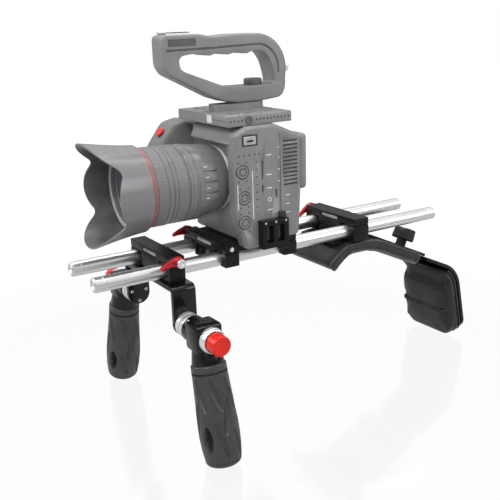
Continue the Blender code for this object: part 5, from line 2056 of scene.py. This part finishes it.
@dataclass
class CameraParts:
    """The hand grip, battery, top plate, handle and their screws.

    Attributes:
        soft: The rounding of the hand grip and the battery.
        rail_height: The height of the top plate's rail.
        groove_bend: The radius of the bend in the handle's groove.
    """

    soft: float = 0.0012
    rail_height: float = 0.007
    groove_bend: float = 0.0255

    def build(self) -> None:
        """Make every piece around the shell."""
        rig = Body.RIG.value
        refine("hand_grip", "moulded", self.soft, 3, CAMERA_RUBBER, rig)
        refine("record_button", "turned", 0.0004, 2, RED_BUTTON, Body.RECORD.value)
        refine("battery", "rounded", self.soft, 3, CAMERA, rig)
        self.build_plate()
        self.build_handle()
        refine("handle_rear_screw", "turned", 0.0004, 2, SILVER, Body.REAR_SCREW.value)
        refine("handle_lock_knob", "turned", 0.0005, 2, CAMERA_DARK_AND_SHADE, Body.HANDLE_LOCK.value)

    def build_plate(self) -> None:
        """Make the slotted top plate with its rail, side port and holes."""
        low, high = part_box("top_plate")
        top = high.z - self.rail_height
        plate = Bench.round_edges(Bench.box("top_plate_milled", low, (high.x, high.y, top)), 0.0008, 2)
        rail = Bench.box("rail", (-0.009, low.y + 0.014, top - 0.001), (0.009, high.y - 0.006, high.z))
        Bench.fuse(plate, Bench.round_edges(rail, 0.0006, 2))
        Bench.cut(plate, *self.plate_cutters(low, high, top))
        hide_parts("top_plate")
        dress(plate, CAMERA, Body.RIG.value)
        port_seat = Vector((high.x, low.y + 0.024, (low.z + top) / 2))
        profile = [(-0.0006, 0.0040), (0.0006, 0.0040), (0.0009, 0.0034), (0.0008, 0.0026),
                   (-0.0002, 0.0023), (-0.0002, 0.0012), (0.0003, 0.0009)]
        port = Bench.lathe("top_plate_port", profile, port_seat, X_AXIS, 40)
        dress(port, CAMERA_DARK_AND_SHADE, Body.RIG.value)
        # Pale dashes along the top face by its left edge are painted highlights; a pale blank sits on the front
        # face.
        marks = []
        for start in (low.y + 0.004, low.y + 0.011, low.y + 0.018):
            marks.append(Bench.box("dash", (high.x - 0.0075, start, top - 0.0003),
                                   (high.x - 0.0062, start + 0.004, top + 0.0002)))
        marks.append(Bench.box("blank", (0.012, low.y - 0.0003, low.z + 0.002),
                               (0.021, low.y + 0.0004, top - 0.001)))
        dress(Bench.join("top_plate_marks", marks), CAMERA_MARK_AND_HIGHLIGHT, Body.RIG.value)

    @staticmethod
    def plate_cutters(low: Vector, high: Vector, top: float) -> list[Object]:
        """Return the slots and holes of the top plate.

        Args:
            low: The plate's low corner.
            high: The plate's high corner.
            top: The height of its upper face.

        Returns:
            The cutters, which don't touch each other.
        """
        found = []
        for x in (-0.034, 0.034):
            for index in range(3):
                start = low.y + 0.010 + index * 0.020
                found.append(Bench.box("slot", (x - 0.0018, start, low.z - 0.01),
                                       (x + 0.0018, start + 0.014, high.z)))
        for x in (-0.0445, -0.024, 0.024, 0.043):
            for index in range(6):
                seat = Vector((x, low.y + 0.0065 + index * 0.0122, top + 0.002))
                radius = 0.0022 if index % 2 else 0.0014
                found.append(Bench.lathe("hole", [(-0.006, radius), (0.0, radius)], seat, Z_AXIS, 20))
        middle_z = (low.z + top) / 2
        for index in range(17):
            y = low.y + 0.004 + index * 0.0042
            if abs(y - low.y - 0.024) > 0.006:
                found.append(Bench.lathe("hole", [(-0.0014, 0.0010), (0.002, 0.0010)],
                                         Vector((high.x, y, middle_z)), X_AXIS, 14))
        for index in range(7):
            found.append(Bench.lathe("hole", [(-0.002, 0.0010), (0.0014, 0.0010)],
                                     Vector((high.x - 0.006 - index * 0.0042, low.y, middle_z)), Y_AXIS, 14))
        for y in (0.0, 0.018, 0.036):
            found.append(Bench.lathe("hole", [(-0.003, 0.0018), (0.002, 0.0018)],
                                     Vector((0, low.y + 0.022 + y, high.z)), Z_AXIS, 20))
        return found

    def build_handle(self) -> None:
        """Make the top handle with its grooves, side panels and accessory shoe."""
        outer, opening = sections("top_handle", Vector((0.0001, 0, 0)), X_AXIS)[:2]
        half, front = 0.012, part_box("top_handle")[0].y
        handle = Bench.prism("top_handle_moulded", flat(round_corners(outer, 0.004)), "X", -half, half)
        Bench.round_edges(handle, 0.0034, 5, 50)
        Bench.cut(handle, Bench.prism("opening", flat(round_corners(opening, 0.006, 5)), "X", -0.03, 0.03))
        Bench.round_edges(handle, 0.0012, 3, 50)
        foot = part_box("top_handle")[0].z
        line = [(front + 0.004, foot + 0.0545), (front + 0.055, foot + 0.0552),
                (front + 0.100, foot + 0.0566)]
        line += arc((front + 0.106, foot + 0.0315), self.groove_bend, 85, -8, 14)
        # Dark tubes laid in the grooves are painted shade in the grooves; dark sheets lie in the recessed side
        # panels.
        channels, groove_shade_and_panels = [], []
        for side in Side:
            for group, reach, radius in ((channels, half, 0.0010), (groove_shade_and_panels, half - 0.0007, 0.0007)):
                path = [Vector((side.value * reach, *spot)) for spot in line]
                group.append(Bench.tube("groove", path, radius, sides=8))
            spans = ((channels, half - 0.0006, half + 0.002, 0.0),
                     (groove_shade_and_panels, half - 0.0012, half - 0.0003, 0.0003))
            for group, inner, outer_x, gap in spans:
                near, far = ordered(side, inner, outer_x)
                group.append(Bench.box("panel", (near, front + 0.006 + gap, foot + 0.0580 + gap),
                                       (far, front + 0.036 - gap, foot + 0.0648 - gap)))
        Bench.cut(handle, *channels)
        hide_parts("top_handle")
        dress(handle, CAMERA, Body.RIG.value)
        dress(Bench.join("top_handle_inlays", groove_shade_and_panels), CAMERA_DARK_AND_SHADE, Body.RIG.value)
        self.build_shoe(front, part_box("top_handle")[1].z)

    @staticmethod
    def build_shoe(front: float, top: float) -> None:
        """Make the accessory shoe on the handle's front.

        Args:
            front: The handle's front end.
            top: The height of its top.
        """
        rails = []
        for side in Side:
            for inner, low, high in ((0.0092, -0.002, 0.0022), (0.0062, 0.0014, 0.0024)):
                near, far = ordered(side, inner, 0.0108)
                rails.append(Bench.box("rail", (near, front + 0.006, top + low),
                                       (far, front + 0.030, top + high)))
        dress(Bench.join("accessory_shoe", rails), BRIGHT_EDGE, Body.RIG.value)


# The lens

@dataclass
class Lens:
    """The zoom lens with its rings, glass and petal hood.

    Attributes:
        axis_z: The height of the lens axis.
        bore: The radius of the barrel's room in a ring.
        glass: The radius of the glass's room in the front ring.
        rib_drop: How far a ribbed band lies below its ring.
        ribs: The ribs around a rubber ring.
        rib_depth: The depth between them.
        hood_wall: The hood's wall.
        hood_reaches: How far the hood's long lobe, side lobe and valley reach.
        hood_radii: The hood's radius at its back and at its mouth.
        hood_lines: The levels inside the hood that carry a fine ring.
        valley: The angle of the hood's valleys from the top in degrees.
    """

    axis_z: float = 0.087
    bore: float = 0.0345 + 0.0004
    glass: float = 0.0335 + 0.0006
    rib_drop: float = 0.0007
    ribs: int = 110
    rib_depth: float = 0.00016
    hood_wall: float = 0.0016
    hood_reaches: tuple[float, float, float] = (0.053, 0.036, 0.027)
    hood_radii: Point = (0.0430, 0.0505)
    hood_lines: tuple[int, int] = (6, 9)
    valley: float = 56.0

    def build(self) -> None:
        """Make every piece of the lens."""
        self.build_barrel()
        self.build_ring("focus_ring", Body.FOCUS, LENS_RUBBER, ((0.10, 0.72),))
        self.build_ring("zoom_ring", Body.ZOOM, LENS_RUBBER, ((0.22, 0.92),))
        self.build_ring("control_ring", Body.CONTROL, LENS, ((0.30, 0.80),))
        self.build_front()
        self.build_glass()
        self.build_hood()

    def point(self, y: float) -> Vector:
        """Return the point on the lens axis at y."""
        return Vector((0, y, self.axis_z))

    def build_barrel(self) -> None:
        """Make the barrel, the bright mount and the switch panel on its side."""
        refine("lens_barrel", "turned", 0.0006, 2, LENS, Body.RIG.value)
        self.build_switches()
        refine("lens_mount", "turned", 0.0004, 2, BRIGHT_EDGE, Body.RIG.value)

    def build_switches(self) -> None:
        """Make the switch panel on the near side of the barrel's rear."""
        panel_start, panel_length, reach, lift = -0.0605, 0.017, 0.0372, 0.0007
        panels, marks = [], []
        for angle in (-18, -2, 14, 30):
            out = Vector((math.cos(math.radians(angle)), 0, math.sin(math.radians(angle))))
            round_about = Matrix.Rotation(-math.radians(angle), 4, "Y")
            seat = Matrix.Translation(self.point(panel_start) + out * reach) @ round_about
            panel = Bench.box("panel", (-0.002, 0.0, -0.0042), (lift, panel_length, 0.0042))
            mark = Bench.box("mark", (0, 0.003, -0.0004), (lift + 0.0004, 0.0065, 0.0004))
            for piece, group in ((Bench.round_edges(panel, 0.0005, 2), panels), (mark, marks)):
                piece.data.transform(seat)
                group.append(piece)
        dress(Bench.join("lens_switch_panels", panels), LENS, Body.RIG.value)
        dress(Bench.join("lens_switches", marks), CAMERA_MARK_AND_HIGHLIGHT, Body.RIG.value)

    def build_ring(self, node: str, body: Body, finish: Finish, bands: Sequence[Point]) -> None:
        """Make one ring with ribbed bands.

        Args:
            node: The CAD node.
            body: The body that turns.
            finish: Its finish.
            bands: The ribbed bands as shares of its length.
        """
        radius, length = turned_size(node, "y")
        edge = 0.0006
        profile = [(0, self.bore), (0, radius - edge), (edge, radius)]
        for start, end in bands:
            for share in (start, end - 0.03):
                first, last, sunk = length * share, length * (share + 0.03), radius - self.rib_drop
                profile += [(first, radius), (first, sunk), (last, sunk), (last, radius)]
        profile += [(length - edge, radius), (length, radius - edge), (length, self.bore)]

        def ribbed(angle: float, distance: float, reach: float) -> float:
            """Return a radius with ribs inside the bands."""
            share = distance / length
            inside = any(start + 0.02 < share < end - 0.02 for start, end in bands)
            if not inside or reach < radius - 0.0005:
                return reach
            return reach - self.rib_depth * (0.5 + 0.5 * math.copysign(1, math.sin(self.ribs * angle)))

        start = self.point(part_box(node)[0].y)
        ring = Bench.lathe(node + "_ribbed", profile, start, Y_AXIS, self.ribs * 4, True, ribbed)
        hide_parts(node)
        dress(ring, finish, body.value)

    def build_front(self) -> None:
        """Make the stepped front ring and the thin red line behind the hood."""
        low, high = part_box("lens_front")
        shell, length = turned_size("lens_front", "y")
        glass = self.glass
        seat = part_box("front_glass")[1].y - low.y
        profile = [(0, glass + 0.0012), (0, shell - 0.001), (0.001, shell), (length, shell),
                   (length, self.bore), (seat, self.bore), (seat, glass), (0.0052, glass),
                   (0.0052, glass + 0.0005), (0.0036, glass + 0.0006), (0.0036, glass + 0.0009),
                   (0.0018, glass + 0.0010)]
        front = Bench.lathe("lens_front_stepped", profile, self.point(low.y), Y_AXIS, 160, closed=True)
        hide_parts("lens_front")
        dress(front, LENS, Body.RIG.value)
        rims = []
        for radius in (0.0352, 0.0374):
            edge = radius + 0.0004
            rim = [(-0.0003, radius), (-0.0003, edge), (0.0006, edge), (0.0006, radius)]
            rims.append(Bench.lathe("rim", rim, self.point(low.y), Y_AXIS, 128, closed=True))
        dress(Bench.join("lens_front_rims", rims), BRIGHT_EDGE, Body.RIG.value)
        sunk, proud, wide = shell - 0.0006, shell + 0.00025, 0.0012
        line = [(0, sunk), (0, proud), (wide, proud), (wide, sunk)]
        red = Bench.lathe("lens_red_ring", line, self.point(high.y - 0.0018), Y_AXIS, 128, closed=True)
        dress(red, LENS_RED, Body.RIG.value)

    def build_glass(self) -> None:
        """Make the domed front glass."""
        radius, deep = turned_size("front_glass", "y")
        rise, steps = min(0.0035, deep * 0.5), 24
        shares = [step / steps for step in range(steps + 1)]
        profile = [(rise * share * share, max(0.0004, radius * share)) for share in shares]
        profile.append((deep, radius))
        start = self.point(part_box("front_glass")[0].y)
        glass = Bench.lathe("front_glass_domed", profile, start, Y_AXIS, 128)
        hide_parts("front_glass")
        dress(glass, GLASS, Body.RIG.value)

    def hood_edge(self, angle: float) -> float:
        """Return how far forward the hood's lip reaches at an angle from the top."""
        long_reach, side_reach, valley_reach = self.hood_reaches
        valley = math.radians(self.valley)
        folded = math.acos(min(1.0, abs(math.cos(angle))))
        if folded < valley:
            return valley_reach + (long_reach - valley_reach) * (1 - (folded / valley) ** 2.6)
        share = (math.pi / 2 - folded) / (math.pi / 2 - valley)
        return valley_reach + (side_reach - valley_reach) * (1 - share ** 2)

    def soft_edge(self, angle: float) -> float:
        """Return the lip's reach with its valleys rounded."""
        spread = [self.hood_edge(angle + math.radians(step)) for step in range(-6, 7, 2)]
        return sum(spread) / len(spread)

    def build_hood(self) -> None:
        """Make the petal hood with a rounded lip and fine rings inside."""
        around, levels = 288, 40
        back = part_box("lens_hood")[1].y
        mouth = self.hood_radii[1] - self.hood_radii[0]
        angles = [2 * math.pi * step / around for step in range(around)]
        lips = [self.soft_edge(angle) for angle in angles]
        rings = []
        walls = ((0.0, range(levels + 1)), (self.hood_wall, range(levels, -1, -1)))
        for wall, order in walls:
            for level in order:
                line = 0.0003 if wall and level in self.hood_lines else 0.0
                ring = []
                for angle, lip in zip(angles, lips):
                    reach = lip * (level / levels)
                    radius = self.hood_radii[0] + mouth * (reach / self.hood_reaches[0]) ** 1.3 - wall + line
                    ring.append(self.point(back - reach)
                                + Vector((radius * math.sin(angle), 0, radius * math.cos(angle))))
                rings.append(ring)
        hood = Bench.loft("lens_hood_petals", rings, closed=True)
        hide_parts("lens_hood")
        dress(hood, LENS, Body.HOOD.value)
        # Faces that look in towards the axis take the darker finish: painted shade inside the hood.
        hood.data.materials.append(LENS_INNER_SHADE.material())
        for face in hood.data.polygons:
            outward = face.center - self.point(face.center.y)
            face.material_index = int(face.normal.dot(outward) < -0.5 * outward.length)


def main() -> None:
    """Build every sub-assembly in order."""
    logging.basicConfig(level=logging.INFO, format="%(message)s")
    Studio().build()
    Support().build()
    HandleStrap().build()
    ShoulderPads().build()
    CameraBody().build()
    CameraParts().build()
    Lens().build()


if __name__ == "__main__":
    main()
